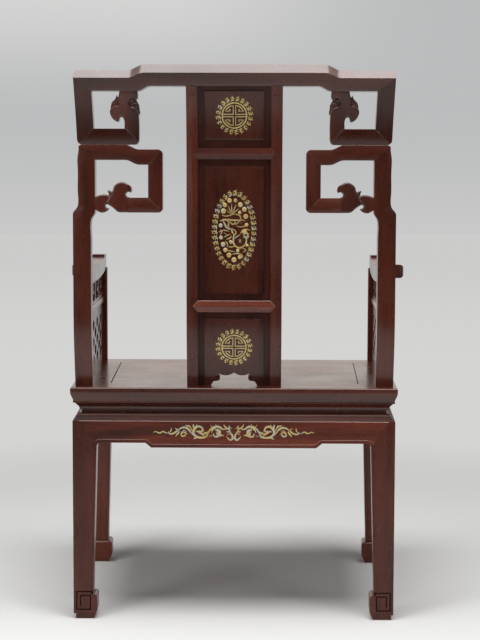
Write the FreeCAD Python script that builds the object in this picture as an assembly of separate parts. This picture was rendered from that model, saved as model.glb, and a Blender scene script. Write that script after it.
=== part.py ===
import FreeCAD, Part
import math
import os

# The hat chair, in millimetres: z up from the floor, the front towards -y, the middle at x = 0.
# Depths run forward from the rear edge of the seat. Offsets run inward from the seat's edge.
# Pieces on the +x side are called right, and the left ones are their mirror images.

# Seat frame and panel
seat_height = 460.0
seat_depth = 509.0
seat_half_rear = 318.5
side_flare_degrees = 2.05
seat_frame_thickness = 30.5
seat_edge_round = 3.0
seat_edge_straight = 12.0
seat_edge_face = 26.0
seat_edge_tuck = 6.0
seat_edge_bulge_radius = 18.0
seat_lip_offset = 5.0
seat_lip_round = 1.2
rear_rail_width = 75.0
front_rail_width = 68.0
side_rail_width = 74.0
panel_top_gap = 1.4
panel_end_gap = 0.6
panel_thickness = 12.0
panel_tongue_height = 6.0
panel_tongue_length = 6.0
batten_width = 26.0
batten_height = 16.0
batten_position = 112.0
batten_tenon = 12.0

# Waist moulding between seat and apron
waist_bottom = 400.0
waist_back_offset = 30.0
waist_top_offset = 8.0
waist_throat_offset = 17.0
waist_throat_high = 420.0
waist_cove_high = 415.5
waist_cove_low = 408.0
waist_cove_offset = 21.0
waist_fillet_offset = 14.5
waist_fillet_low = 405.5
waist_foot_offset = 9.5
waist_sweep_radius = 9.0

# Aprons and legs
base_inset = 4.0
apron_thickness = 22.0
apron_bevel_height = 6.0
apron_end_low = 351.0
apron_middle_low = 341.7
apron_step_outer = 172.5
apron_step_inner = 161.0
side_step_inner = 88.0
side_step_outer = 99.5
bead_distance = 4.4
bead_width = 2.6
bead_proud = 1.0
rim_depth = 1.2
corner_radius = 7.0
mitre_start = 8.0
leg_top_width = 47.0
leg_ankle_width = 38.5
hoof_height = 49.5
hoof_width = 47.0
hoof_corner_radius = 7.0
hoof_side_low = 18.0
hoof_under_run = 8.0
plinth_height = 10.0
plinth_inset = 4.5
plinth_round = 2.0
leg_tenon_width = 20.0
leg_tenon_length = 18.0
scroll_margin = 5.0
scroll_high = 56.0
scroll_line = 2.4
scroll_pitch = 7.6
scroll_depth = 1.6
scroll_low = 18.0

# The side shape of the back: lean, upright stretch, lean
back_foot_depth = 35.0
back_middle_depth = 11.5
back_top_depth = -31.5
back_low_bend = 567.0
back_high_bend = 956.0
back_top = 1081.0
low_bend_radius = 370.0
high_bend_radius = 410.0
ridge_fall = 2.6

# Posts
post_outer = 312.5
post_inner = 278.0
post_upper_outer = 302.5
post_upper_inner = 269.4
post_thickness = 34.0
outer_ogee_low = 796.0
outer_ogee_high = 814.0
inner_ogee_low = 782.0
inner_ogee_high = 802.0
post_tenon_length = 22.0
post_tenon_width = 16.0
post_section_pitch = 24.0
ogee_section_pitch = 5.0

# Crest rail
crest_half_length = 306.4
crest_middle_low = 1040.0
crest_middle_face = 1064.2
crest_end_low = 1030.9
crest_end_face = 1054.7
crest_end_top = 1069.8
crest_thickness = 34.0
crest_top_run = 13.0
crest_front_bevel = 6.0
crest_low_bevel_height = 5.0
crest_low_bevel_run = 2.0
crest_top_step_outer = 204.0
crest_top_step_inner = 171.0
crest_low_step_outer = 184.5
crest_low_step_inner = 160.0
crest_corner_radius = 8.0
crest_section_pitch = 4.0
crest_head_cover = 6.0

# Frets between posts and splat
fret_thickness = 28.0
upper_fret_bar_width = 33.0
upper_fret_flare = 3.6
upper_fret_base_high = 960.4
upper_fret_low = 930.0
upper_fret_inner_side = 183.1
upper_fret_inner_bar = 28.5
fret_corner_radius = 10.0
corner_centre_share = 0.98
lower_fret_step = 9.1
lower_fret_low = 900.7
lower_fret_side = 138.4
lower_fret_side_width = 28.2
lower_fret_foot_high = 828.3
lower_fret_foot_low = 799.5
lower_step_inner = 184.0
lower_step_outer = 211.0
foot_bar_end = 216.3
foot_root_overlap = 12.0

# Carved clouds at the ends of the fret bars
cloud_stem_inner = 185.0
cloud_stem_outer = 219.0
cloud_lobe_x = 224.5
cloud_lobe_height = 996.5
cloud_lobe_radius = 14.5
cloud_curl_x = 222.0
cloud_curl_height = 985.5
cloud_curl_radius = 12.5
cloud_shoulder_x = 192.0
cloud_shoulder_height = 1000.0
cloud_shoulder_radius = 12.5
cloud_notch_x = 214.5
cloud_notch_height = 979.0
cloud_notch_radius = 4.4
cloud_leaf_width = 6.0
cloud_leaf_rise = 28.0
main_cloud_x = 218.5
main_cloud_height = 844.0
main_cloud_radius = 14.0
hook_cloud_x = 208.5
hook_cloud_radius = 10.0
hook_notch_x = 204.5
hook_notch_height = 834.5
hook_notch_radius = 5.0
small_cloud_x = 254.5
small_cloud_height = 823.0
small_cloud_radius = 12.5
small_curl_x = 252.0
small_curl_height = 811.5
small_curl_radius = 11.0
small_notch_x = 244.5
small_notch_height = 811.5
small_notch_radius = 4.4
small_cloud_bridge = 12.0
foot_leaf_rise = 21.0

# Splat
splat_half = 92.4
stile_width = 21.8
splat_thickness = 26.0
splat_upper_rail_high = 924.0
splat_upper_rail_low = 902.3
splat_lower_rail_high = 629.4
splat_lower_rail_low = 606.4
stile_tenon_length = 20.0
stile_tenon_width = 12.0
stile_tenon_thickness = 14.0
border_recess = 8.5
border_thickness = 9.0
field_recess = 3.6
field_half = 58.0
field_step = 1.6
field_step_drop = 1.8
field_top_margin = 9.0
field_low_margin = 15.8
field_margin = 12.5
panel_groove = 6.0
cut_half_seat = 46.0
cut_flare_half = 40.4
cut_flare_height = 468.8
cut_half_high = 27.8
cut_shoulder = 470.6
cut_shoulder_radius = 4.4
cut_top = 481.6
cut_tip_half = 31.8
cut_tip_rise = 2.4
cut_cusp_rise = 5.2
cut_lobe_half = 16.4
cut_lobe_radius = 26.0
cut_lobe_drop = 0.6
cut_eye_half = 32.8
cut_eye_height = 477.4
cut_eye_radius = 2.7
cut_eye_depth = 3.4

# Arms
arm_centre_offset = 24.8
arm_front_inset = 5.0
arm_post_thickness = 26.0
arm_post_width = 33.0
arm_post_chamfer = 2.5
arm_height_front = 701.0
arm_height_rear = 698.0
arm_height_middle = 688.0
arm_thickness = 30.0
arm_width = 28.0
arm_tip = 373.7
arm_tip_top = 679.0
arm_tip_radius = 9.0
arm_drop_start = 327.0
arm_drop_end = 353.0
arm_head_rear_depth = 476.0
arm_head_radius = 13.0
arm_drop_radius = 16.0
arm_drop_lag = 4.0
arm_neck_radius = 24.0
arm_tenon_height = 16.0
arm_tenon_width = 14.0
arm_rail_middle_low = 592.0
arm_rail_middle_high = 606.0
arm_rail_middle_width = 18.0
arm_panel_thickness = 12.0
lattice_border = 12.0
lozenge_radius = 7.0
lattice_columns = 4
lattice_rows = 3
lattice_rib = 11.0
hook_count = 4
hook_width = 7.0
hook_drop = 24.0
hook_curl = 18.0
hook_round = 2.8
hook_plate_reach = 90.0
window_border = 7.0
window_rib = 12.0
window_radius = 6.0

# Inlay and pins
inlay_thickness = 0.8
roundel_ring_radius = 24.5
roundel_line = 2.0
roundel_cross_gap = 2.4
roundel_wreath_radius = 33.0
roundel_leaf_count = 22
leaf_length = 6.4
leaf_radius = 1.9
leaf_belly_share = 0.8
leaf_lean = 0.9
hook_share = 0.62
oval_half_width = 42.0
oval_half_height = 75.0
oval_leaf_count = 38
pearl_radius = 4.0
scroll_body_width = 7.0
body_share = 0.78
body_turns = 5
pearl_reach = 24.0
vine_wave_length = 62.0
vine_line = 2.6
vine_curl_rise = 6.0
vine_curl_radius = 4.5
vine_leaf_drop = 7.0
vine_turns = 5
dowel_radius = 4.0
dowel_length = 26.0
dowel_inner = 228.0
dowel_outer = 282.0
peg_radius = 3.2
peg_length = 16.0
peg_from_side = 13.0
peg_drop = 38.0

through = 2000.0
flare = math.tan(math.radians(side_flare_degrees))
flare_length = 1.0 / math.cos(math.radians(side_flare_degrees))
seat_under = seat_height - seat_frame_thickness
V = FreeCAD.Vector


def rounded_path(points):
    """Edges of a closed outline as point pairs and triples; each point is (a, b, radius)."""
    count = len(points)
    starts = []
    ends = []
    middles = []
    for i in range(count):
        a0, b0, radius = points[i]
        before = points[i - 1]
        after = points[(i + 1) % count]
        length_in = math.hypot(before[0] - a0, before[1] - b0)
        length_out = math.hypot(after[0] - a0, after[1] - b0)
        into = ((before[0] - a0) / length_in, (before[1] - b0) / length_in)
        out = ((after[0] - a0) / length_out, (after[1] - b0) / length_out)
        if radius == 0:
            starts.append((a0, b0))
            ends.append((a0, b0))
            middles.append(None)
            continue
        cosine = into[0] * out[0] + into[1] * out[1]
        half_angle = math.acos(cosine) / 2
        reach = radius / math.tan(half_angle)
        bisector = (into[0] + out[0], into[1] + out[1])
        size = math.hypot(bisector[0], bisector[1])
        to_arc = (radius / math.sin(half_angle) - radius) / size
        starts.append((a0 + into[0] * reach, b0 + into[1] * reach))
        ends.append((a0 + out[0] * reach, b0 + out[1] * reach))
        middles.append((a0 + bisector[0] * to_arc, b0 + bisector[1] * to_arc))
    path = []
    for i in range(count):
        if middles[i] is not None:
            path.append((starts[i], middles[i], ends[i]))
        path.append((ends[i], starts[(i + 1) % count]))
    return path


def outline_face(points, place):
    """A flat face from an outline, laid in space by the function place."""
    edges = []
    for stretch in rounded_path(points):
        corners = [place(a, b) for a, b in stretch]
        if len(corners) == 3:
            edges.append(Part.Arc(corners[0], corners[1], corners[2]).toShape())
        elif corners[0].distanceToPoint(corners[1]) > 0.001:
            edges.append(Part.makeLine(corners[0], corners[1]))
    return Part.Face(Part.Wire(edges))


def at_depth(depth):
    """The y value of a depth from the seat's rear edge."""
    return seat_rear_y - depth


def frontal(depth):
    """Lays (x, z) outlines upright, square to the chair, at one depth."""
    return lambda a, b: V(a, at_depth(depth), b)


def lateral(x):
    """Lays (depth, z) outlines upright, fore and aft, at one x."""
    return lambda a, b: V(x, at_depth(a), b)


def along_side(offset):
    """Lays (distance along the flared right side, z) outlines at one offset."""
    return lambda a, b: V(seat_half_rear - offset + a * flare / flare_length, at_depth(a / flare_length), b)


def in_plan(z):
    """Lays (x, depth) outlines flat at one height."""
    return lambda a, b: V(a, at_depth(b), z)


def frontal_prism(points, depth_from, depth_to):
    """An (x, z) outline made solid between two depths."""
    return outline_face(points, frontal(depth_from)).extrude(V(0, depth_from - depth_to, 0))


def lateral_prism(points, x_from, x_to):
    """A (depth, z) outline made solid between two x values."""
    return outline_face(points, lateral(x_from)).extrude(V(x_to - x_from, 0, 0))


def plan_prism(points, z_from, z_to):
    """An (x, depth) outline made solid between two heights."""
    return outline_face(points, in_plan(z_from)).extrude(V(0, 0, z_to - z_from))


def side_prism(points, offset_from, offset_to):
    """An outline on the flared right side made solid between two offsets."""
    return outline_face(points, along_side(offset_from)).extrude(V(offset_from - offset_to, 0, 0))


def sharp(points):
    """An outline with no rounded corners."""
    return [(a, b, 0) for a, b in points]


def mirrored(shape):
    """The left-hand twin of a right-hand shape."""
    return shape.mirror(V(0, 0, 0), V(1, 0, 0))


def joined(shapes):
    """One solid from overlapping ones."""
    whole = shapes[0].multiFuse(shapes[1:]) if len(shapes) > 1 else shapes[0]
    return whole.removeSplitter()


def seat_half(depth, offset):
    """Half width of the flared plan at a depth, for one offset from the seat's edge."""
    return seat_half_rear - offset + depth * flare


def turn_angle(run, rise):
    """Angle between an upright line and one that leans by run over rise."""
    return math.atan2(abs(run), abs(rise))


low_turn = turn_angle(back_foot_depth - back_middle_depth, back_low_bend - seat_height)
high_turn = turn_angle(back_middle_depth - back_top_depth, back_top - back_high_bend)
low_reach = low_bend_radius * math.tan(low_turn / 2)
high_reach = high_bend_radius * math.tan(high_turn / 2)


def back_depth(z):
    """Depth of the back's rear face at a height."""
    if z < back_low_bend - low_reach * math.cos(low_turn):
        return back_middle_depth + (back_low_bend - z) * math.tan(low_turn)
    if z < back_low_bend + low_reach:
        rise = back_low_bend + low_reach - z
        return back_middle_depth + low_bend_radius - math.sqrt(low_bend_radius ** 2 - rise ** 2)
    if z < back_high_bend - high_reach:
        return back_middle_depth
    if z < back_high_bend + high_reach * math.cos(high_turn):
        rise = z - back_high_bend + high_reach
        return back_middle_depth - high_bend_radius + math.sqrt(high_bend_radius ** 2 - rise ** 2)
    return back_middle_depth - (z - back_high_bend) * math.tan(high_turn)


seat_rear_y = (seat_depth + back_depth(crest_middle_face)) / 2


def back_slab(near, far):
    """The curved slab of the back between two depths behind its rear face."""
    slab_low = seat_height - post_tenon_length * 2
    slab_high = back_top + post_tenon_length
    foot = back_middle_depth + (back_low_bend - slab_low) * math.tan(low_turn)
    head = back_middle_depth - (slab_high - back_high_bend) * math.tan(high_turn)
    corners = [
        (foot + near, slab_low, 0),
        (back_middle_depth + near, back_low_bend, low_bend_radius),
        (back_middle_depth + near, back_high_bend, high_bend_radius),
        (head + near, slab_high, 0),
        (head + far, slab_high, 0),
        (back_middle_depth + far, back_high_bend, high_bend_radius),
        (back_middle_depth + far, back_low_bend, low_bend_radius),
        (foot + far, slab_low, 0),
    ]
    return lateral_prism(corners, -through / 2, through / 2)


def back_piece(points, near, far):
    """An (x, z) outline cut out of the curved slab."""
    return frontal_prism(points, -through / 4, through / 4).common(back_slab(near, far))


def closed_wire(corners):
    """A closed wire through sharp corners."""
    return Part.makePolygon(corners + [corners[0]])


def level_section(x, low, high, thickness):
    """Section of a level bar of the back: a ridge along the middle of both faces."""
    middle = (low + high) / 2
    place = lateral(x)
    return closed_wire([
        place(back_depth(low) + ridge_fall, low),
        place(back_depth(middle), middle),
        place(back_depth(high) + ridge_fall, high),
        place(back_depth(high) + thickness - ridge_fall, high),
        place(back_depth(middle) + thickness, middle),
        place(back_depth(low) + thickness - ridge_fall, low),
    ])


def upright_section(z, inner, outer, thickness):
    """Section of an upright bar of the back: the same ridge, seen from above."""
    middle = (inner + outer) / 2
    rear = back_depth(z)
    place = in_plan(z)
    return closed_wire([
        place(inner, rear + ridge_fall),
        place(middle, rear),
        place(outer, rear + ridge_fall),
        place(outer, rear + thickness - ridge_fall),
        place(middle, rear + thickness),
        place(inner, rear + thickness - ridge_fall),
    ])


def levels(low, high, pitch):
    """Evenly spaced heights from low to high."""
    steps = max(1, round((high - low) / pitch))
    return [low + (high - low) * i / steps for i in range(steps + 1)]


def upright_bar(low, high, inner, outer, thickness):
    """An upright bar that follows the curve of the back."""
    sections = [upright_section(z, inner, outer, thickness) for z in levels(low, high, post_section_pitch)]
    return Part.makeLoft(sections, True, len(sections) < 3)


def corner_tip(x, z, inward, upward):
    """The tip outside a rounded corner of a fret. The round crosses both faces and never just touches them."""
    margin = fret_corner_radius / 4
    centre_x = x + inward * fret_corner_radius * corner_centre_share
    centre_z = z + upward * fret_corner_radius * corner_centre_share
    block = frontal_prism(sharp([
        (x - inward * margin, z - upward * margin),
        (centre_x, z - upward * margin),
        (centre_x, centre_z),
        (x - inward * margin, centre_z),
    ]), -through / 4, through / 4)
    centre = V(centre_x, -through / 4, centre_z)
    return block.cut(Part.makeCylinder(fret_corner_radius, through / 2, centre, V(0, 1, 0)))


def smooth(z, low, high):
    """A share that rises smoothly from 0 at low to 1 at high."""
    part = min(1.0, max(0.0, (z - low) / (high - low)))
    return (1 - math.cos(math.pi * part)) / 2


def box_between(x_from, x_to, depth_from, depth_to, z_from, z_to):
    """A square block between three pairs of limits."""
    corners = [(x_from, depth_from), (x_to, depth_from), (x_to, depth_to), (x_from, depth_to)]
    return plan_prism(sharp(corners), z_from, z_to)


def mitre_corners(rear_width, front_width, side_width):
    """Plan corners of the right half of a flared frame: outer rear, outer front, inner front, inner rear."""
    return [
        (seat_half(0, 0), 0),
        (seat_half(seat_depth, 0), seat_depth),
        (seat_half(seat_depth - front_width, side_width), seat_depth - front_width),
        (seat_half(rear_width, side_width), rear_width),
    ]


def frame_ring(outline, rear_width, front_width, side_width):
    """Rear, front, right and left lengths of one moulding, mitred at the corners; outline is (offset, z)."""
    outer_rear, outer_front, inner_front, inner_rear = mitre_corners(rear_width, front_width, side_width)
    low = min(point[1] for point in outline)
    high = max(point[1] for point in outline)

    def between(right_outer, right_inner):
        """The symmetrical stretch of plan between two corners and their twins."""
        left_inner = (-right_inner[0], right_inner[1])
        left_outer = (-right_outer[0], right_outer[1])
        return plan_prism(sharp([right_outer, right_inner, left_inner, left_outer]), low, high)

    rear = lateral_prism(outline, -through / 2, through / 2).common(between(outer_rear, inner_rear))
    turned = [(seat_depth - a, b, radius) for a, b, radius in outline]
    front = lateral_prism(turned, -through / 2, through / 2).common(between(outer_front, inner_front))
    beside = [(seat_half(0, a), b, radius) for a, b, radius in outline]
    long_side = outline_face(beside, frontal(0)).extrude(V(flare * seat_depth, -seat_depth, 0))
    right = long_side.common(plan_prism(sharp([outer_rear, outer_front, inner_front, inner_rear]), low, high))
    return {"rear": rear, "front": front, "right": right, "left": mirrored(right)}


nodes = {}

# Seat frame: four mitred rails with a moulded edge, round a panel that is tongued into them.
rail_reach = max(rear_rail_width, front_rail_width, side_rail_width)
seat_edge = [
    (rail_reach, seat_under, 0),
    (seat_lip_offset, seat_under, seat_lip_round),
    (seat_lip_offset, seat_height - seat_edge_face, seat_lip_round),
    (seat_edge_tuck, seat_height - seat_edge_face, 0),
    (0, seat_height - seat_edge_straight, seat_edge_bulge_radius),
    (0, seat_height, seat_edge_round),
    (rail_reach, seat_height, 0),
]
rails = frame_ring(seat_edge, rear_rail_width, front_rail_width, side_rail_width)


def panel_plate(grow_side, grow_end, low, high):
    """The seat's opening, grown at the sides and the ends, as a plate."""
    corners = mitre_corners(rear_rail_width, front_rail_width, side_rail_width)[2:]
    front_corner = (corners[0][0] + grow_side, corners[0][1] + grow_end)
    rear_corner = (corners[1][0] + grow_side, corners[1][1] - grow_end)
    left_rear = (-rear_corner[0], rear_corner[1])
    left_front = (-front_corner[0], front_corner[1])
    return plan_prism(sharp([front_corner, rear_corner, left_rear, left_front]), low, high)


panel_under = seat_height - panel_thickness
tongue = panel_plate(panel_tongue_length, panel_tongue_length, panel_under, panel_under + panel_tongue_height)
seat_panel = joined([tongue, panel_plate(-panel_top_gap, -panel_end_gap, panel_under, seat_height)])
battens = []
for side in (-1, 1):
    batten_low = panel_under - batten_height
    middle = side * batten_position
    rear_end = rear_rail_width - batten_tenon
    front_end = seat_depth - front_rail_width + batten_tenon
    reach = batten_width / 2
    battens.append(box_between(middle - reach, middle + reach, rear_end, front_end, batten_low, panel_under))
seat_battens = Part.makeCompound(battens)
for side in rails:
    rails[side] = rails[side].cut(seat_panel)
for side in ("rear", "front"):
    rails[side] = rails[side].cut(seat_battens)

# Waist: a hollow moulding in four mitred lengths under the seat frame.
waist_outline = [
    (waist_back_offset, waist_bottom, 0),
    (waist_foot_offset, waist_bottom, 0),
    (waist_fillet_offset, waist_fillet_low, waist_sweep_radius),
    (waist_fillet_offset, waist_cove_low, 0),
    (waist_cove_offset, waist_cove_low, 0),
    (waist_cove_offset, waist_cove_high, 0),
    (waist_throat_offset, waist_cove_high, 0),
    (waist_throat_offset, waist_throat_high, waist_sweep_radius),
    (waist_top_offset, seat_under, 0),
    (waist_back_offset, seat_under, 0),
]
waists = frame_ring(waist_outline, waist_back_offset, waist_back_offset, waist_back_offset)

# Aprons and legs: the aprons are mitred to the legs and to each other, and one bead runs along both.
half_base_rear = seat_half(base_inset, base_inset)
half_base_front = seat_half(seat_depth - base_inset, base_inset)
side_middle = seat_depth * flare_length / 2
half_base_side = side_middle - base_inset * flare_length
apron_back_offset = base_inset + apron_thickness
step_angle = math.atan2(apron_end_low - apron_middle_low, apron_step_outer - apron_step_inner)
step_shift = math.tan(step_angle / 2)


def rear_solid(points, offset_from, offset_to):
    return frontal_prism(points, offset_from, offset_to)


def front_solid(points, offset_from, offset_to):
    return frontal_prism(points, seat_depth - offset_from, seat_depth - offset_to)


def arch_line(half, step_outer, step_inner, grow):
    """Right half of the arch under an apron, from the hoof up to the middle, moved out by grow."""
    return [
        (half - leg_ankle_width + grow, hoof_height, 0),
        (half - leg_top_width + grow, apron_end_low + grow, corner_radius + grow),
        (step_outer - grow * step_shift, apron_end_low + grow, 0),
        (step_inner - grow * step_shift, apron_middle_low + grow, 0),
    ]


def both_halves(points, middle):
    """An open line from right to left, symmetrical about the middle."""
    right = [(middle + a, b, radius) for a, b, radius in points]
    left = [(middle - a, b, radius) for a, b, radius in reversed(points)]
    return right + left


def arch_band(middle, half, step_outer, step_inner, grow_from, grow_to):
    """The strip that follows an arch between two distances from its edge."""
    inner = both_halves(arch_line(half, step_outer, step_inner, grow_from), middle)
    outer = both_halves(arch_line(half, step_outer, step_inner, grow_to), middle)
    return inner + list(reversed(outer))


def apron_outline(middle, half, step_outer, step_inner):
    """An apron seen square on: mitred ends, and a lower edge that steps down in the middle."""
    right = [
        (half - mitre_start, waist_bottom, 0),
        (half - leg_top_width, apron_end_low - corner_radius, 0),
    ] + arch_line(half, step_outer, step_inner, 0)[1:]
    return both_halves(right, middle)


def leg_outline(half, middle, side):
    """A leg seen square on: upright outside, tapered inside, with a hoof that turns inward."""
    points = [
        (half, waist_bottom, 0),
        (half, plinth_height, plinth_round),
        (half - plinth_inset, plinth_height, 0),
        (half - plinth_inset, 0, 0),
        (half - hoof_width + hoof_under_run, 0, 0),
        (half - hoof_width, hoof_side_low, 0),
        (half - hoof_width, hoof_height, hoof_corner_radius),
        (half - leg_ankle_width, hoof_height, 0),
        (half - leg_top_width, apron_end_low, 0),
        (half - leg_top_width, waist_bottom, 0),
    ]
    return [(middle + side * a, b, radius) for a, b, radius in points]


apron_section = [
    (apron_back_offset, waist_bottom, 0),
    (waist_foot_offset, waist_bottom, 0),
    (base_inset, waist_bottom - apron_bevel_height, 0),
    (base_inset, apron_middle_low, 0),
    (apron_back_offset, apron_middle_low, 0),
]
aprons = frame_ring(apron_section, apron_back_offset, apron_back_offset, apron_back_offset)
bevel_waste_section = [
    (waist_foot_offset, waist_bottom, 0),
    (base_inset, waist_bottom - apron_bevel_height, 0),
    (0, waist_bottom - apron_bevel_height, 0),
    (0, waist_bottom + apron_bevel_height, 0),
    (waist_foot_offset, waist_bottom + apron_bevel_height, 0),
]
bevel_waste = frame_ring(bevel_waste_section, apron_back_offset, apron_back_offset, apron_back_offset)
sides = {
    "rear": (rear_solid, 0, half_base_rear, apron_step_outer, apron_step_inner),
    "front": (front_solid, 0, half_base_front, apron_step_outer, apron_step_inner),
    "right": (side_prism, side_middle, half_base_side, side_step_outer, side_step_inner),
}
rims = {}
beads = {}
for side, (solid, middle, half, step_outer, step_inner) in sides.items():
    shape = apron_outline(middle, half, step_outer, step_inner)
    aprons[side] = aprons[side].common(solid(shape, 0, apron_back_offset))
    rim = arch_band(middle, half, step_outer, step_inner, -bead_distance, bead_distance)
    rims[side] = solid(rim, 0, base_inset + rim_depth)
    bead = arch_band(middle, half, step_outer, step_inner, bead_distance, bead_distance + bead_width)
    beads[side] = solid(bead, base_inset - bead_proud, base_inset + rim_depth)

leg_run = hoof_width + plinth_inset
legs = {}
for end, half, start, towards, solid in (
    ("rear", half_base_rear, base_inset, 1, rear_solid),
    ("front", half_base_front, seat_depth - base_inset, -1, front_solid),
):
    along = V(flare * leg_run * towards, -leg_run * towards, 0)
    square_outline = leg_outline(half, 0, 1)
    beside_outline = leg_outline(half_base_side, side_middle, -towards)
    seen_square = outline_face(square_outline, frontal(start)).extrude(along)
    seen_beside = side_prism(beside_outline, base_inset, base_inset + leg_run)
    leg = seen_square.common(seen_beside).cut(aprons[end]).cut(aprons["right"])
    leg = leg.cut(rims[end]).cut(rims["right"]).cut(bevel_waste[end]).cut(bevel_waste["right"])
    square_skin = solid(square_outline, base_inset - bead_proud, base_inset + rim_depth)
    beside_skin = side_prism(beside_outline, base_inset - bead_proud, base_inset + rim_depth)
    square_apron = apron_outline(0, half, apron_step_outer, apron_step_inner)
    beside_apron = apron_outline(side_middle, half_base_side, side_step_outer, side_step_inner)
    square_bead = beads[end].common(square_skin).cut(solid(square_apron, 0, apron_back_offset))
    beside_bead = beads["right"].common(beside_skin).cut(side_prism(beside_apron, 0, apron_back_offset))
    tenon_from = start + (waist_back_offset - base_inset) * towards
    tenon_to = tenon_from + leg_tenon_width * towards
    tenon_outer = seat_half(max(tenon_from, tenon_to), waist_back_offset)
    tenon_outer = min(tenon_outer, seat_half(min(tenon_from, tenon_to), waist_back_offset))
    tenon = box_between(
        tenon_outer - leg_tenon_width, tenon_outer, tenon_from, tenon_to,
        waist_bottom - leg_tenon_length, seat_under + leg_tenon_length,
    )
    legs[end] = joined([leg, square_bead, beside_bead, tenon])
    for side in ("right", end):
        rails[side] = rails[side].cut(tenon)
for side in ("rear", "front", "right"):
    solid, middle, half, step_outer, step_inner = sides[side]
    shape = apron_outline(middle, half, step_outer, step_inner)
    skin = solid(shape, base_inset - bead_proud, base_inset + rim_depth)
    aprons[side] = joined([aprons[side].cut(rims[side]), beads[side].common(skin)])
aprons["left"] = mirrored(aprons["right"])


def seat_mortise(tenon, side_names):
    """Cuts a right-hand tenon, and its twin where a rail runs right across, out of the seat rails."""
    for side in side_names:
        rails[side] = rails[side].cut(tenon)
        if side != "right":
            rails[side] = rails[side].cut(mirrored(tenon))


# A square scroll is cut into the outward faces of each hoof.
def scroll_strokes(outer, towards):
    """Strokes of a square scroll on a hoof, as (a, z) rectangles starting at the outer edge."""
    low = scroll_low
    high = scroll_high
    near = scroll_margin
    far = hoof_width - scroll_margin
    lines = [
        (near, far, high - scroll_line, high),
        (near, near + scroll_line, low, high),
        (near, far - scroll_pitch, low, low + scroll_line),
        (far - scroll_pitch - scroll_line, far - scroll_pitch, low, high - scroll_pitch),
        (near + scroll_pitch, far - scroll_pitch, high - scroll_pitch - scroll_line, high - scroll_pitch),
        (near + scroll_pitch, near + scroll_pitch + scroll_line, low + scroll_pitch, high - scroll_pitch),
    ]
    strokes = []
    for from_edge, to_edge, z_from, z_to in lines:
        a = outer - towards * from_edge
        b = outer - towards * to_edge
        strokes.append(sharp([(a, z_from), (b, z_from), (b, z_to), (a, z_to)]))
    return strokes


for end, half, side_outer, side_towards, solid in (
    ("rear", half_base_rear, side_middle - half_base_side, -1, rear_solid),
    ("front", half_base_front, side_middle + half_base_side, 1, front_solid),
):
    cut_to = base_inset + scroll_depth
    cuts = [solid(stroke, 0, cut_to) for stroke in scroll_strokes(half, 1)]
    cuts += [side_prism(stroke, 0, cut_to) for stroke in scroll_strokes(side_outer, side_towards)]
    legs[end] = legs[end].cut(cuts)

# Posts: each follows the curve of the back and steps inward below the frets.
top_bar_corner = (post_upper_outer, upper_fret_low)
top_bar_inside = (post_upper_inner, lower_fret_low)


def post_section(z):
    outer = post_outer - (post_outer - post_upper_outer) * smooth(z, outer_ogee_low, outer_ogee_high)
    inner = post_inner - (post_inner - post_upper_inner) * smooth(z, inner_ogee_low, inner_ogee_high)
    return upright_section(z, inner, outer, post_thickness)


post_levels = levels(seat_height, inner_ogee_low, post_section_pitch)
post_levels += levels(inner_ogee_low, outer_ogee_high, ogee_section_pitch)[1:]
post_levels += levels(outer_ogee_high, upper_fret_low, post_section_pitch)[1:]
post = Part.makeLoft([post_section(z) for z in post_levels], True, False)
post_middle = (post_outer + post_inner) / 2
top_mitre = sharp([
    (post_upper_inner - post_thickness, upper_fret_low),
    top_bar_corner,
    top_bar_inside,
    (post_upper_inner - post_thickness, lower_fret_low),
])
post = post.cut(frontal_prism(top_mitre, -through / 4, through / 4))
post = post.cut(corner_tip(post_upper_outer, upper_fret_low, -1, -1))
post_middle_depth = back_foot_depth + post_thickness / 2
post_tenon = box_between(
    post_middle - post_tenon_width / 2, post_middle + post_tenon_width / 2,
    post_middle_depth - post_tenon_width / 2, post_middle_depth + post_tenon_width / 2,
    seat_height - post_tenon_length, seat_height + post_tenon_length,
)
post = joined([post, post_tenon])
seat_mortise(post_tenon, ("rear", "right"))


# Crest rail: higher in the middle, with a broad slope along its rear top edge.
def crest_section(x):
    top_share = 1 - smooth(abs(x), crest_top_step_inner, crest_top_step_outer)
    low_share = 1 - smooth(abs(x), crest_low_step_inner, crest_low_step_outer)
    low = crest_end_low + (crest_middle_low - crest_end_low) * low_share
    face = crest_end_face + (crest_middle_face - crest_end_face) * top_share
    top = crest_end_top + (back_top - crest_end_top) * top_share
    bevel = low + crest_low_bevel_height
    place = lateral(x)
    return closed_wire([
        place(back_depth(low) + crest_low_bevel_run, low),
        place(back_depth(bevel), bevel),
        place(back_depth(face), face),
        place(back_depth(face) + crest_top_run, top),
        place(back_depth(face) + crest_thickness - crest_front_bevel, top),
        place(back_depth(face) + crest_thickness, top - crest_front_bevel),
        place(back_depth(bevel) + crest_thickness, bevel),
        place(back_depth(low) + crest_thickness - crest_low_bevel_run, low),
    ])


step_places = levels(crest_low_step_inner, crest_top_step_outer, crest_section_pitch)
crest_places = [-crest_half_length] + [-x for x in reversed(step_places)] + step_places + [crest_half_length]
crest = Part.makeLoft([crest_section(x) for x in crest_places], True, True)
crest_shape = [
    (-crest_half_length, crest_end_low - fret_corner_radius, 0),
    (crest_half_length, crest_end_low - fret_corner_radius, 0),
    (crest_half_length, crest_end_top, crest_corner_radius),
    (crest_top_step_outer, crest_end_top, 0),
    (crest_top_step_outer, back_top + crest_corner_radius, 0),
    (-crest_top_step_outer, back_top + crest_corner_radius, 0),
    (-crest_top_step_outer, crest_end_top, 0),
    (-crest_half_length, crest_end_top, crest_corner_radius),
]
crest = crest.common(frontal_prism(crest_shape, -through / 4, through / 4))

# Upper frets: an outer bar, a bar below it, and an inner bar that ends in a carved cloud.
bar_top = crest_half_length
bar_low = crest_half_length - upper_fret_flare
bar_width = upper_fret_bar_width
inner_bar_edge = upper_fret_inner_side + upper_fret_inner_bar


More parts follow.
